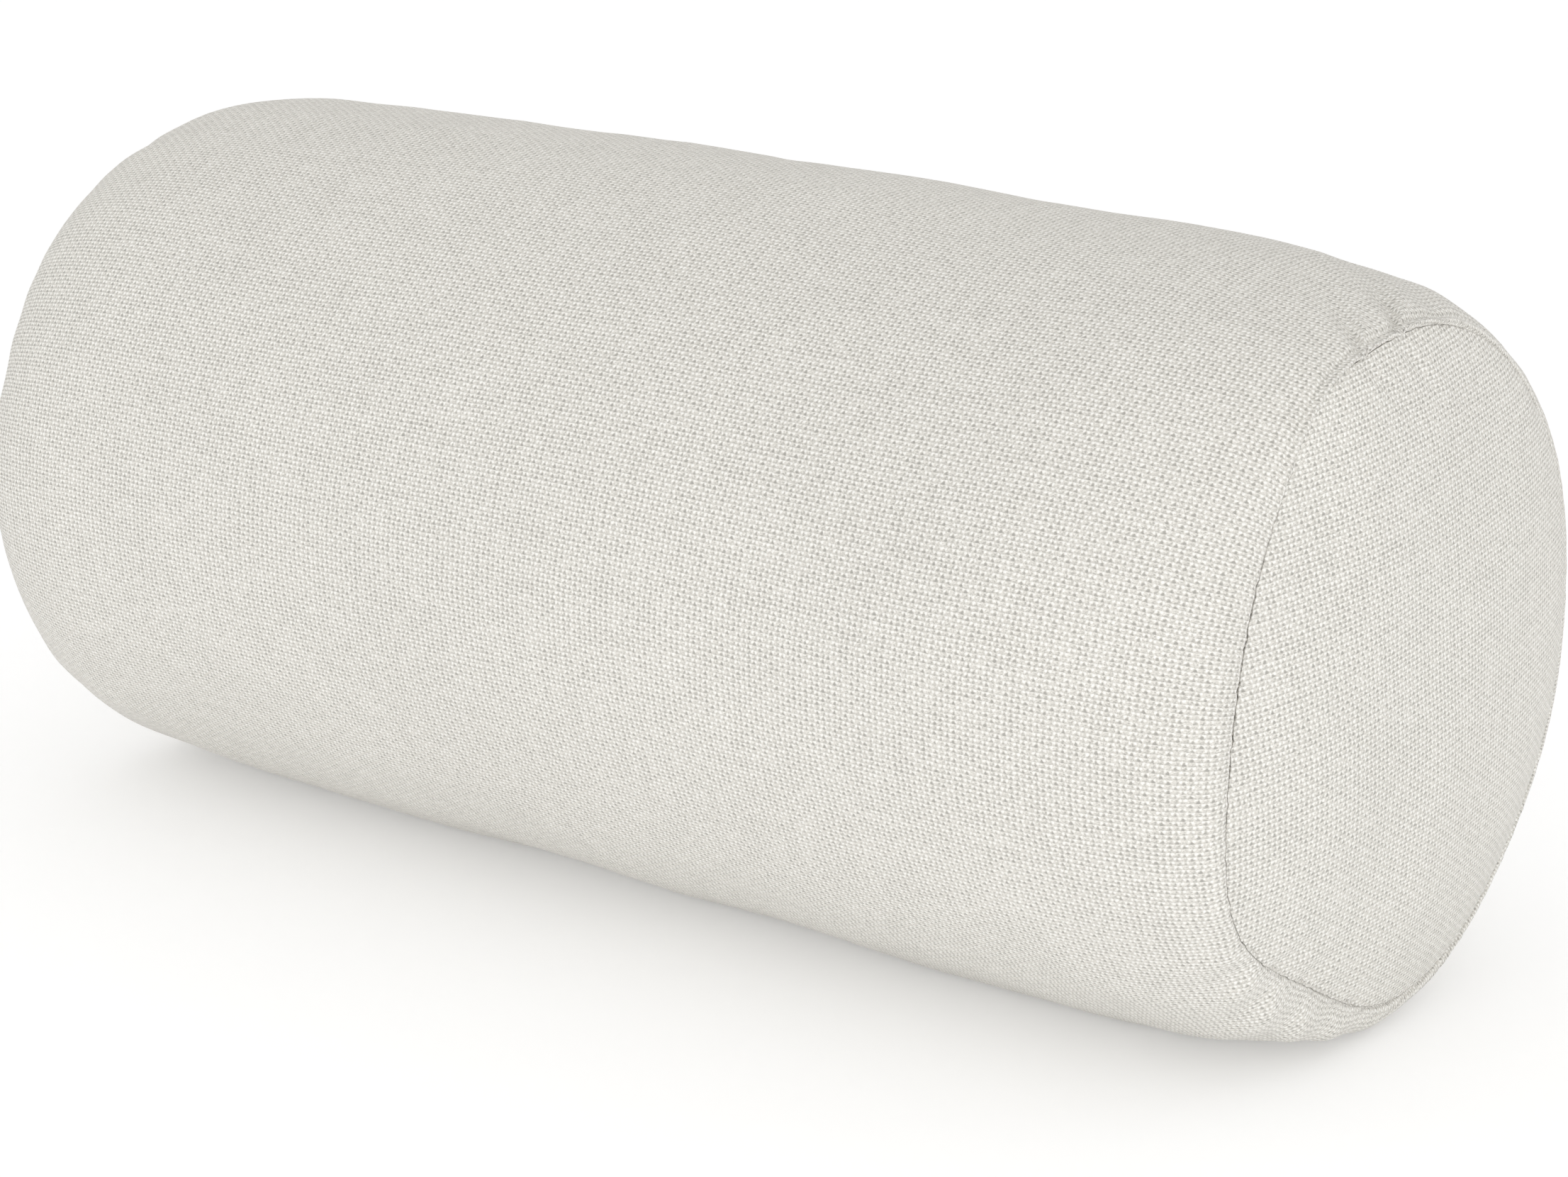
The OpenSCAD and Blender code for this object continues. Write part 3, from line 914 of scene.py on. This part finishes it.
def side_panel_grid():
    """The side panel's outer face, as a row of points for each ring: their x, radius, angle and drop."""
    middle_rings = 34
    edge = np.array([0, 0.12, 0.35, 0.75, 1.3, 2.1, 3.2]) * MM / RADIUS
    half_columns = 210
    along = np.concatenate([edge, np.linspace(edge[-1] + 0.017, math.pi, half_columns)])
    along = np.concatenate([along, 2 * math.pi - along[-2::-1]])

    def ring_theta(x):
        open_angle = np.arcsin(hem_gap(x) / RADIUS)
        return ZIP_THETA + open_angle + along / math.pi * (math.pi - open_angle)

    rows = []
    for side, rings in ((1, side_profile(1)), (-1, side_profile(-1)[::-1])):
        made = []
        for ring in rings:
            theta = ring_theta(HALF_SPAN)
            for _ in range(2):
                x, r, drop = ring(theta)
                theta = ring_theta(x)
            made.append((side * x, r + 0 * theta, theta, drop + 0 * theta))
        if side > 0:
            rows += made
            continue
        start, end = rows[-1], made[0]
        for share in np.arange(1, middle_rings + 1) / (middle_rings + 1):
            x = start[0] * (1 - share) + end[0] * share
            rows.append((x, RADIUS + 0 * x, ring_theta(x), 0 * x))
        rows += made
    return [np.array([row[k] for row in rows]) for k in range(4)]


SEAM_RINGS = 6


def side_panel(material):
    x, r, theta, drop = side_panel_grid()
    distance = {side: np.abs(seam_x(theta, side) - side * x) + np.abs(r - seam_radius(theta, side))
                for side in (1, -1)}
    # the rings that go down into the seams keep clear of puckers and lumps
    distance[1][:SEAM_RINGS] = 0
    distance[-1][-SEAM_RINGS:] = 0
    depth = sum(pucker_depth(theta, distance[side], side) for side in (1, -1))
    arc = (theta - 2 * math.pi) * RADIUS
    shoulder_share = sum(np.exp(-distance[side] / (45 * MM)) for side in (1, -1))
    lumps = (0.22 + 0.35 * shoulder_share) * ripples(x, arc, 60 * MM, 3) + 0.12 * ripples(x, arc, 22 * MM, 4)
    quiet = 1 - np.exp(-np.minimum(distance[1], distance[-1]) / (6 * MM))
    r = r - depth + (lumps * MM + crown(x, theta) + swelling(x, theta)) * quiet

    # the zip's topstitching draws the hem down, and its folded edge is rounded
    # from_edge is the distance from the slot's edge, made long on the front half so that none of it is near
    front_half = np.cos(theta - ZIP_THETA) < 0
    from_edge = np.abs(np.sin(theta - ZIP_THETA)) * RADIUS - hem_gap(x) + 10 * front_half
    row_at = TOPSTITCH_AT - hem_gap(x)
    sewn = (np.abs(x) < SLOT_HALF).astype(float)
    r = r - 0.35 * MM * np.exp(-((from_edge - row_at) / (1.3 * MM)) ** 2) * sewn
    fold = 0.9 * MM
    inside = np.clip(1 - from_edge / fold, 0, 1)
    r = r - fold * (1 - np.sqrt(np.maximum(1 - inside ** 2, 0)))

    points = placed(x, r, theta, drop + sag(x, theta, distance[1]))
    steps = np.hypot(np.diff(x, axis=0), np.diff(r, axis=0))
    run = np.concatenate([np.zeros((1, points.shape[1])), np.cumsum(steps, axis=0)])
    middle = np.argmin(np.abs(x[:, 0]))
    run = run[middle:middle + 1] - run
    weave = np.stack([run / THREAD_ALONG, arc / THREAD_AROUND], axis=-1).reshape(-1, 2)
    hem = np.clip((13 * MM - from_edge) / MM, 0, 1)
    thickness = CLOTH_T * (1 + 0.9 * hem * (np.minimum(distance[1], distance[-1]) > 8 * MM))
    rows, columns = x.shape
    faces = grid_faces(rows, columns)
    return cloth_piece("cover_side_panel.cloth", points.reshape(-1, 3), faces, thickness, weave, material)


def cloth_piece(name, points, faces, thickness, weave, material):
    """A closed shell of cloth whose outside faces away from the bolster, whichever way its quads turn."""
    normal = point_normals(points, faces)
    if np.sum(normal * (points - (0, 0, AXIS_Z))) < 0:
        faces = faces[:, ::-1]
    points, faces, weave = thicken(points, faces, np.ravel(thickness), weave)
    return build(name, points, faces, material, weave)


# The cap is CAP_CELLS by CAP_CELLS quads out to the share CAP_INNER of its radius, and rings beyond that.
# CAP_R is the radius its threads are counted with.
CAP_CELLS = 116
CAP_INNER = 0.93
CAP_R = 76 * MM
DOME_POWER = 2.6


def disc_grid(cells):
    """A square grid of points bent into a unit disc, and the numbers of its border points by angle."""
    steps = np.linspace(-1, 1, cells + 1)
    a, b = np.meshgrid(steps, steps, indexing="ij")
    wide = np.abs(a) >= np.abs(b)
    big = np.where(wide, a, b)
    share = np.where(wide, b, a) / np.where(big == 0, 1, big)
    angle = np.where(wide, share * math.pi / 4, math.pi / 2 - share * math.pi / 4)
    u, v = big * np.cos(angle), big * np.sin(angle)
    index = np.arange((cells + 1) ** 2).reshape(cells + 1, cells + 1)
    border = np.concatenate([index[-1, :-1], index[::-1, -1][:-1], index[0, ::-1][:-1], index[:, 0][:-1]])
    return u.ravel(), v.ravel(), grid_faces(cells + 1, cells + 1), border


def end_panel(side, material):
    """The round end: a disc, then rings that roll over into the seam."""
    u, v, faces, border = disc_grid(CAP_CELLS)
    share = np.hypot(u, v) * CAP_INNER
    theta = np.arctan2(v, u)
    edge_theta = theta[border]
    rings = []
    outer = CAP_INNER + (1 - CAP_INNER) * np.sin(np.arange(1, 13) / 12 * math.pi / 2)
    for s in outer:
        rings.append((s + 0 * edge_theta, edge_theta, 0, 0))
    for turn in (math.pi / 8, math.pi / 4):
        rings.append((1 + 0 * edge_theta, edge_theta, turn, 0))
    for depth in (0.2 * TUCK, 0.6 * TUCK, TUCK):
        rings.append((1 + 0 * edge_theta, edge_theta, math.pi / 4, depth))

    def surface(share, theta, turn, depth):
        """turn and depth are 0 on the dome; then the cloth rolls by turn and goes into the seam by depth."""
        wobble = share ** 24
        rim = seam_radius(theta, side, wobble) - 0.85 * ROLL - wobble * gap(theta, side)
        x0 = HALF_SPAN + (seam_x(theta, side, wobble) - HALF_SPAN) * share ** 2
        bulge = (DOME + 0.8 * MM * near(theta, 300, 50) * share ** 2) * (1 - share ** DOME_POWER)
        if side > 0:
            bulge = bulge + 2.2 * MM * near(theta, 150, 32) * share ** 6 * (1 - share ** 20)
        x = x0 + bulge - ROLL * math.sin(turn) - SLANT * depth
        r = share * rim - ROLL * (1 - math.cos(turn)) - SLANT * depth
        from_seam = (1 - share) * rim
        r_pull = pucker_depth(theta, from_seam, side, 0.8)
        front, up = share * np.cos(theta) * rim, share * np.sin(theta) * rim
        lumps = 0.3 * MM * ripples(front, up, 45 * MM, 11 + side)
        inward = 0.4 * r_pull * np.minimum(1, share ** 3) - lumps * (1 - share ** 4)
        inward -= end_swelling(share, theta, side)
        beside = from_seam / MM * np.exp(1 - from_seam / MM)
        for at, width, dent in RIGHT_DENTS if side > 0 else LEFT_DENTS:
            inward += DENT_MM * dent * MM * near(theta, at, width) * beside
        return x - inward * (1 - 0.3 * share ** 8), r - 0.4 * inward * share ** 12, theta

    parts = [surface(share, theta, 0, 0)]
    parts += [surface(*ring) for ring in rings]
    all_share = np.concatenate([share, *[ring[0] for ring in rings]])
    all_extra = np.concatenate([0 * share, *[0 * ring[0] + ROLL * ring[2] + ring[3] for ring in rings]])
    points = np.concatenate([placed(side * x, r, t, DROP) for x, r, t in parts])
    loops = [border] + [len(u) + len(border) * k + np.arange(len(border)) for k in range(len(rings))]
    ring_faces = np.concatenate([quads_between(a, b) for a, b in zip(loops[:-1], loops[1:])])
    all_faces = matched(points, faces, ring_faces)
    dome_share = np.linspace(0, 1, 200)
    step = np.hypot(np.diff(dome_share) * CAP_R, np.diff(dome_share ** DOME_POWER) * DOME)
    run = np.interp(all_share, dome_share, np.concatenate([[0], np.cumsum(step)])) + all_extra
    tilt = math.radians(5.2)
    stretch = run / np.maximum(all_share * CAP_R, 1e-6)
    y, z = points[:, 1] * stretch, (points[:, 2] - AXIS_Z + DROP) * stretch
    weave = np.stack([
        (y * math.cos(tilt) + z * math.sin(tilt)) / THREAD_ALONG,
        (z * math.cos(tilt) - y * math.sin(tilt)) / THREAD_AROUND,
    ], axis=-1)
    name = "cover_end_panel_" + end_word(side) + ".cloth"
    return cloth_piece(name, points, all_faces, CLOTH_T, weave, material)


def matched(points, faces, more):
    """Both lists of quads, turned so that they face the same way along X."""
    def facing(quads):
        corners = points[quads]
        return np.cross(corners[:, 2] - corners[:, 0], corners[:, 3] - corners[:, 1])[:, 0].sum()
    if facing(faces) * facing(more) < 0:
        more = more[:, ::-1]
    return np.concatenate([faces, more])


# -------------------------------------------------------------------------------------------------- sewing


def surface_tree(*pieces):
    """Finds the outermost cloth along a line towards the axis."""
    points, faces, count = [], [], 0
    for piece in pieces:
        points += [v.co for v in piece.data.vertices]
        faces += [[i + count for i in p.vertices] for p in piece.data.polygons]
        count = len(points)
    return BVHTree.FromPolygons(points, faces)


def on_cloth(tree, x, theta):
    """The point of the cloth's outside at x and theta, and the direction away from the axis there."""
    out = Vector((0, -math.cos(theta), math.sin(theta)))
    well_outside = 0.12
    hit = tree.ray_cast(Vector((x, 0, AXIS_Z)) + well_outside * out, -out)[0]
    return np.array(hit), np.array(out)


THREAD_R = 0.25 * MM
STITCH = 3.0 * MM


def stitch(start, end, out, rise=0.16 * MM, sink=0.45 * MM):
    """One stitch: it comes up out of the cloth, lies on it and goes down again."""
    share = np.array([0, 0.06, 0.16, 0.36, 0.64, 0.84, 0.94, 1])
    height = np.array([-sink, -0.25 * rise, 0.7 * rise, rise, rise, 0.7 * rise, -0.25 * rise, -sink])
    path = start[None] * (1 - share[:, None]) + end[None] * share[:, None] + height[:, None] * out[None]
    return tube(path, THREAD_R, 8)


def topstitching(tree, side, material):
    """The row of stitches beside the zip."""
    theta = ZIP_THETA - side * TOPSTITCH_ANGLE
    word = zip_word(side)
    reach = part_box("zip_stitching_" + word)[1].x
    count = int(2 * reach / STITCH)
    random = np.random.default_rng(31 + side)
    parts = []
    for k in range(count):
        x = -reach + (k + 0.5) * STITCH
        wander = random.normal(0, 0.0012)
        start, out = on_cloth(tree, x - 0.43 * STITCH, theta + wander)
        end, _ = on_cloth(tree, x + 0.43 * STITCH, theta + wander)
        parts.append(stitch(start, end, out, 0.42 * MM))
    return build("zip_stitching_" + word + ".stitches", *gather(parts), material)


def end_seam_thread(side, material):
    """The lockstitch that holds the end panel, down inside the seam: two threads that cross each other."""
    turns = 165
    theta = 2 * math.pi * np.arange(turns * 8) / (turns * 8)
    parts = []
    for phase in (0, math.pi):
        wave = np.cos(turns * theta + phase)
        depth = 0.95 * MM + 0.5 * MM * np.sin(turns * theta + phase)
        rim = seam_radius(theta, side) - 0.71 * MM
        x = seam_x(theta, side) - 0.29 * MM
        path = placed(
            side * (x - SLANT * depth + 0.3 * MM * wave), rim - SLANT * depth - 0.3 * MM * wave, theta, DROP)
        parts.append(tube(path, 0.16 * MM, 6, closed=True))
    return build("end_seam_thread_" + end_word(side) + ".lockstitch", *gather(parts), material)


def back_seam_threads(tree, material):
    """Stitches that close the back of the cover beyond both ends of the zip."""
    parts = []
    for end in (-1, 1):
        start = SLOT_HALF + 1.2 * MM
        for k in range(9):
            x = end * (start + k * 2.6 * MM)
            point, out = on_cloth(tree, x, ZIP_THETA)
            across = np.array([0, 0, 1.0])
            along = np.array([0.9 * MM, 0, 0])
            middle = point - 0.5 * MM * out * (k > 2)
            parts.append(stitch(middle - 1.1 * MM * across - along, middle + 1.1 * MM * across + along, out))
    return build("back_seam_threads.stitches", *gather(parts), material)


# ----------------------------------------------------------------------------------------------------- zip


def zip_tape(side, material):
    word = zip_word(side)
    low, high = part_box("zip_tape_" + word)
    outer_r = high.y
    inner_edge = (low.z - AXIS_Z) if side > 0 else (AXIS_Z - high.z)
    width = high.z - low.z
    x, across = np.meshgrid(np.linspace(low.x, high.x, 190), np.linspace(0, width, 22), indexing="ij")
    theta = ZIP_THETA - side * np.arcsin(np.minimum((inner_edge + across) / outer_r, 0.5))
    cord = 0.22 * MM * np.exp(-((across - 0.5 * MM) / (0.5 * MM)) ** 2)
    r = outer_r - 0.3 * MM + cord + 0.12 * MM * ripples(x, across, 16 * MM, 41 + side) * (across > 1 * MM)
    points = placed(x, r, theta, 0).reshape(-1, 3)
    weave = np.stack([x / TAPE_THREAD, across / TAPE_THREAD], axis=-1).reshape(-1, 2)
    faces = grid_faces(*x.shape)
    return cloth_piece("zip_tape_" + word + ".herringbone", points, faces, 0.5 * MM, weave, material)


def zip_coil(side, material, thread_material):
    """A flattened nylon spiral whose heads reach between those of the other one, sewn down along its back."""
    word = zip_word(side)
    low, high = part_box("zip_coil_" + word)
    wire, pitch, steps = 0.31 * MM, 1.62 * MM, 14
    turns = int((high.x - low.x - 2 * wire) / pitch)
    t = np.arange(turns * steps + 1) / steps
    outer_z = (high.z - AXIS_Z) if side > 0 else (AXIS_Z - low.z)
    head_z = -0.42 * MM
    mid_z, half_z = (outer_z + head_z) / 2, (outer_z - head_z) / 2 - wire
    mid_y, half_y = (low.y + high.y) / 2, (high.y - low.y) / 2 - wire
    angle = 2 * math.pi * t
    squareness = 1 + 0.12 * np.cos(2 * angle)
    lean = 0.5 * pitch * (side < 0)
    path = np.stack([
        low.x + wire + lean + pitch * (t - 0.16 * np.sin(angle)) * (1 - 0.5 / turns),
        mid_y + half_y * np.sin(angle) * squareness,
        AXIS_Z + side * (mid_z - half_z * np.cos(angle)),
    ], axis=-1)
    coil = build("zip_coil_" + word + ".spiral", *tube(path, wire, 8, flat=0.92), material)
    parts = []
    for place in (0.42, 0.72):
        z = AXIS_Z + side * (mid_z + half_z * (2 * place - 1))
        for k in range(0, turns, 2):
            x = low.x + wire + lean + pitch * (k + 0.15)
            start = np.array([x, mid_y + half_y + wire, z])
            end = start + (1.8 * pitch, 0, 0)
            parts.append(stitch(start, end, np.array([0, 1.0, 0]), 0.14 * MM, 0.9 * MM))
    sewn = build("zip_coil_" + word + ".sewing", *gather(parts), thread_material)
    return coil, sewn


def bevelled(node, name, width, material):
    """A copy of a moulded or cast part with its sharp edges rounded off."""
    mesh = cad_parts[node].data.copy()
    mesh.name = name
    shape = bmesh.new()
    shape.from_mesh(mesh)
    bmesh.ops.remove_doubles(shape, verts=shape.verts, dist=0.002 * MM)
    bmesh.ops.dissolve_limit(shape, angle_limit=math.radians(1), verts=shape.verts, edges=shape.edges)
    sharp = [e for e in shape.edges if e.is_manifold and e.calc_face_angle() > math.radians(28)]
    bmesh.ops.bevel(shape, geom=sharp, offset=width, segments=3, profile=0.6, affect="EDGES",
                    clamp_overlap=True)
    bmesh.ops.triangulate(shape, faces=[f for f in shape.faces if len(f.verts) > 4])
    bmesh.ops.recalc_face_normals(shape, faces=shape.faces)
    shape.to_mesh(mesh)
    shape.free()
    mesh.materials.clear()
    mesh.materials.append(material)
    piece = add_object(name, mesh)
    mesh.polygons.foreach_set("use_smooth", [True] * len(mesh.polygons))
    mesh.set_sharp_from_angle(angle=math.radians(40))
    return piece


# --------------------------------------------------------------------------------------------- care label


def care_label(tree, material):
    """A blank ribbon folded in two, sewn into the left end seam and lying on the end panel."""
    low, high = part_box("care_label")
    width, length = high.z - low.z, high.y - low.y + 1 * MM
    steps = np.linspace(0, 1, 41)
    across = np.linspace(-0.5, 0.5, 23) * width
    rows, marks = [], []
    leaf = 0.35 * MM
    for layer in (0, 1):
        order = steps if layer == 0 else steps[::-1][1:]
        for share in order:
            y = high.y + 1.4 * MM - share * length
            bend = 0.5 * leaf * (1 + 4 * share ** 6)
            marks.append((1 - layer) * share * length + layer * (2 - share) * length)
            rows.append((y, share, (1 if layer else -1) * bend))
    points = []
    for y, share, apart in rows:
        for z in across:
            hit = tree.ray_cast(Vector((-0.3, y, AXIS_Z - DROP + z)), Vector((1, 0, 0)))[0]
            lift = 0.55 * MM + 1.6 * MM * share ** 2 + 0.7 * MM * share ** 2 * math.sin(z / width * 5 + 1)
            base = hit.x if hit is not None and hit.x < 0 else -HALF_SPAN
            points.append((base - lift + apart, y, AXIS_Z - DROP + z))
    points = np.array(points)
    row_marks = np.repeat(marks, len(across))
    weave = np.stack([row_marks / RIBBON_THREAD, np.tile(across, len(rows)) / RIBBON_THREAD], axis=-1)
    faces = grid_faces(len(rows), len(across))
    half = 0.11 * MM
    normal = point_normals(points, faces)
    points, faces, weave = thicken(points + normal * half, faces, np.full(len(points), 2 * half), weave)
    return build("care_label.ribbon", points, faces, material, weave), (width, 2 * length)


# ------------------------------------------------------------------------------------------------- filling


def body_radius(x, theta, side, inset):
    """Radius of the bolster's plain shape at a distance x from its middle, inset evenly, and its drop."""
    width = shoulder_width(theta, side)
    inward = np.clip((seam_x(theta, side, 0) - x) / width, 0, 1)
    power = shoulder_power(theta, side)
    rise = np.maximum(1 - (1 - inward) ** power, 0) ** (1 / power)
    rim = seam_radius(theta, side, 0)
    from_seam = (seam_x(theta, side, 0) - x) + (RADIUS - rim) * rise
    fuller = (crown(side * x, theta) + swelling(side * x, theta)) * (1 - np.exp(-from_seam / (6 * MM)))
    return rim + (RADIUS - rim) * rise + fuller - inset, DROP * (1 - rise) + sag(side * x, theta, from_seam)


# How far back the inner layers may reach behind the zip
BACK_LIMIT = 85.2 * MM


def ring_points(x, r, theta, drop, inset):
    """Points of an inner layer, kept off the floor side of the cover and flat behind the zip."""
    points = placed(x, r, theta, drop)
    points[..., 2] = np.maximum(points[..., 2], inset)
    points[..., 1] = np.minimum(points[..., 1], BACK_LIMIT - inset + 1.4 * MM)
    return points


def capped_solid(rings, cells):
    """Joins rings of points by quads and closes both ends with a disc of even quads."""
    u, v, disc_faces, border = disc_grid(cells)
    share = np.hypot(u, v)
    columns = 4 * cells
    angle = (np.arctan2(v, u) % (2 * math.pi)) / (2 * math.pi) * columns
    k = np.floor(angle + 1e-9).astype(int) % columns
    mix = np.clip(angle - np.floor(angle + 1e-9), 0, 1)[:, None]
    points, faces, count = [], [], 0
    for end in (rings[0], rings[-1]):
        centre, edge = end["centre"], end["points"]
        outline = edge[k] * (1 - mix) + edge[(k + 1) % columns] * mix
        disc = centre[None] + (outline - centre[None]) * share[:, None]
        disc[:, 0] += end["dome"] * (1 - share ** DOME_POWER)
        points.append(disc)
        faces.append(disc_faces + count)
        count += len(disc)
    loops = [border]
    for ring in rings[1:-1]:
        points.append(ring["points"])
        loops.append(count + np.arange(columns))
        count += columns
    loops.append(border + len(u))
    faces += [quads_between(a, b) for a, b in zip(loops[:-1], loops[1:])]
    return np.concatenate(points), np.concatenate(faces)


def ring_of(x, r, theta, drop, inset, dome=0.0):
    points = ring_points(x, r, theta, drop, inset)
    centre = np.array([np.mean(points[:, 0]), 0, AXIS_Z - np.mean(drop)])
    return {"points": points, "centre": centre, "dome": dome}


def liner_side(material):
    """The liner's side: a closed tube of fine cotton just inside the cover."""
    inset = 2.2 * MM
    rows = []
    for share in np.linspace(-1, 1, 101):
        side = 1 if share >= 0 else -1
        x = side * (seam_x(fill_theta, side) - 4 * MM) * math.sin(abs(share) * math.pi / 2)
        r, drop = body_radius(np.abs(x), fill_theta, side, inset)
        r = r + 0.35 * MM * ripples(x, fill_theta * RADIUS, 30 * MM, 51)
        rows.append((x, r, drop))
    points = np.stack([ring_points(x, r, fill_theta, drop, inset) for x, r, drop in rows])
    shape = points.shape[:2]
    around = np.broadcast_to(fill_theta * RADIUS / LINER_THREAD, shape)
    weave = np.stack([points[..., 0] / LINER_THREAD, around], axis=-1)
    faces = grid_faces(*shape, wrap=True)
    points = points.reshape(-1, 3)
    return cloth_piece("liner_side_panel.cloth", points, faces, 0.4 * MM, weave.reshape(-1, 2), material)


def liner_end(side, material):
    u, v, faces, _ = disc_grid(FILL_CELLS)
    share, theta = np.hypot(u, v), np.arctan2(v, u)
    rim = seam_radius(theta, side) - 4.5 * MM
    bulge = (DOME - 1.6 * MM) * (1 - share ** DOME_POWER) + end_swelling(share, theta, side)
    rim_x = HALF_SPAN + (seam_x(theta, side) - HALF_SPAN) * share ** 2
    x = rim_x - 4 * MM + bulge + 0.3 * MM * ripples(u * RADIUS, v * RADIUS, 35 * MM, 61 + side)
    points = placed(side * x, share * rim, theta, DROP)
    weave = points[:, 1:] / LINER_THREAD
    return cloth_piece("liner_end_" + end_word(side) + ".cloth", points, faces, 0.4 * MM, weave, material)


def liner_seam(material):
    """Overlocked thread round both ends of the liner."""
    parts = []
    for side in (1, -1):
        turns = 190
        theta = 2 * math.pi * np.arange(turns * 8) / (turns * 8)
        angle = turns * theta
        rim = seam_radius(theta, side) - 3.7 * MM
        path = placed(
            side * (seam_x(theta, side) - 3.7 * MM + 0.75 * MM * np.cos(angle)),
            rim + 0.75 * MM * np.sin(angle), theta, DROP)
        parts.append(tube(path, 0.14 * MM, 6, closed=True))
    return build("liner_seam_threads.overlock", *gather(parts), material)


CORE_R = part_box("foam_core")[1].y
CORE_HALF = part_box("foam_core")[1].x


def foam_core(material):
    """The cut foam roll, with slightly rounded rims and hot-wire ripples along it."""
    rounding = 3 * MM
    level = 0 * fill_theta
    rings = []
    for side in (-1, 1):
        turns = np.linspace(0, math.pi / 2, 7)
        for turn in (turns if side < 0 else turns[::-1]):
            x = side * (CORE_HALF - rounding * (1 - math.sin(math.pi / 2 - turn)))
            r = CORE_R - 0.4 * MM - rounding * (1 - math.sin(turn))
            rings.append(ring_of(level + x, level + r, fill_theta, level, 0))
        if side < 0:
            for x in np.linspace(-CORE_HALF + rounding, CORE_HALF - rounding, 62)[1:-1]:
                wave = 0.16 * MM * ripples(level + x, fill_theta * CORE_R, 26 * MM, 71)
                rings.append(ring_of(level + x, CORE_R - 0.4 * MM + wave, fill_theta, level, 0))
    return build("foam_core.cut", *capped_solid(rings, FILL_CELLS), material)


def wadding_wrap(material):
    """Fibre wadding rolled once round the foam."""
    inset, half = 3.4 * MM, CORE_HALF
    inner_r = CORE_R + 0.3 * MM
    rows = []
    for share in np.linspace(-1, 1, 81):
        x = np.full_like(fill_theta, share * half)
        side = 1 if share >= 0 else -1
        r, drop = body_radius(np.abs(x), fill_theta, side, inset)
        edge = 2.5 * MM * (1 - math.sqrt(max(0, 1 - max(0, (abs(share) - 0.975) / 0.025) ** 2)))
        r = r + 0.5 * MM * (ripples(x, fill_theta * RADIUS, 28 * MM, 81) - 1) - edge
        rows.append(ring_points(x, np.maximum(r, inner_r + 2 * MM), fill_theta, drop, inset))
    for share in np.linspace(1, -1, 41):
        x = np.full_like(fill_theta, share * half)
        rows.append(placed(x, inner_r + 0 * x, fill_theta, 0))
    points = np.stack(rows)
    count, columns = points.shape[:2]
    first = np.arange(columns)
    joint = quads_between(first + (count - 1) * columns, first)
    faces = np.concatenate([grid_faces(count, columns, wrap=True), joint])
    return build("wadding_wrap.fibre", points.reshape(-1, 3), faces, material)


def wadding_end(side, material):
    """A fibre pad between the foam's end and the liner's end."""
    inset = 3.6 * MM
    start = CORE_HALF + 0.6 * MM
    rings = []
    for share in np.linspace(0, 1, 9):
        x = start + share * (seam_x(fill_theta, side) - 5.5 * MM - start)
        r, drop = body_radius(x, fill_theta, side, inset)
        r = r - 1.2 * MM - 1.5 * MM * max(0, 1 - 6 * share) ** 2
        r = r + 0.4 * MM * ripples(x, fill_theta * RADIUS, 24 * MM, 91 + side)
        dome = side * (DOME - 2.4 * MM) if share == 1 else 0.0
        rings.append(ring_of(side * x, r, fill_theta, drop, inset, dome=dome))
    return build("wadding_end_" + end_word(side) + ".fibre", *capped_solid(rings, FILL_CELLS), material)


# ------------------------------------------------------------------------------------------------ assembly

make_camera()
make_studio()

cloth, sewing, tape_cloth, coil_nylon = cover_cloth(), thread(), herringbone_tape(), nylon()
metal, ribbon, liner_cotton, fibre, foam = nickel(), satin(), cotton(), fibre_wadding(), cut_foam()

simulate_filling(liner_cotton)
side_cloth = put_on(side_panel(cloth), "cushion", "cover_cloth", "cover_side_panel")
caps = {}
for side, word in ((1, "right"), (-1, "left")):
    caps[word] = put_on(end_panel(side, cloth), "cushion", "cover_cloth", "cover_end_panel_" + word)
    put_on(end_seam_thread(side, sewing), "cushion", "sewing_thread", "end_seam_thread_" + word)

tree = surface_tree(side_cloth)
put_on(back_seam_threads(tree, sewing), "cushion", "sewing_thread", "back_seam_threads")
for side, word in ((1, "upper"), (-1, "lower")):
    put_on(topstitching(tree, side, sewing), "cushion", "sewing_thread", "zip_stitching_" + word)
    put_on(zip_tape(side, tape_cloth), "cushion", "zip_tape", "zip_tape_" + word)
    coil, sewn = zip_coil(side, coil_nylon, sewing)
    put_on(coil, "cushion", "zip_coil", "zip_coil_" + word)
    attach(sewn, "cushion")

for node, body, width in (("zip_top_stops", "cushion", 0.3), ("zip_bottom_stop", "cushion", 0.3),
                          ("zip_slider", "slider", 0.22), ("zip_pull_tab", "pull_tab", 0.3)):
    put_on(bevelled(node, node + ".cast", width * MM, metal), body, "zip_metal", node)

label, label_flat = care_label(surface_tree(caps["left"]), ribbon)
put_on(label, "cushion", "label_satin", "care_label")

put_on(liner_side(liner_cotton), "cushion", "liner_cloth", "liner_side_panel")
put_on(liner_seam(sewing), "cushion", "sewing_thread", "liner_seam_threads")
put_on(wadding_wrap(fibre), "cushion", "wadding", "wadding_wrap")
put_on(foam_core(foam), "cushion", "foam", "foam_core")
for side, word in ((1, "right"), (-1, "left")):
    put_on(liner_end(side, liner_cotton), "cushion", "liner_cloth", "liner_end_" + word)
    put_on(wadding_end(side, fibre), "cushion", "wadding", "wadding_end_" + word)
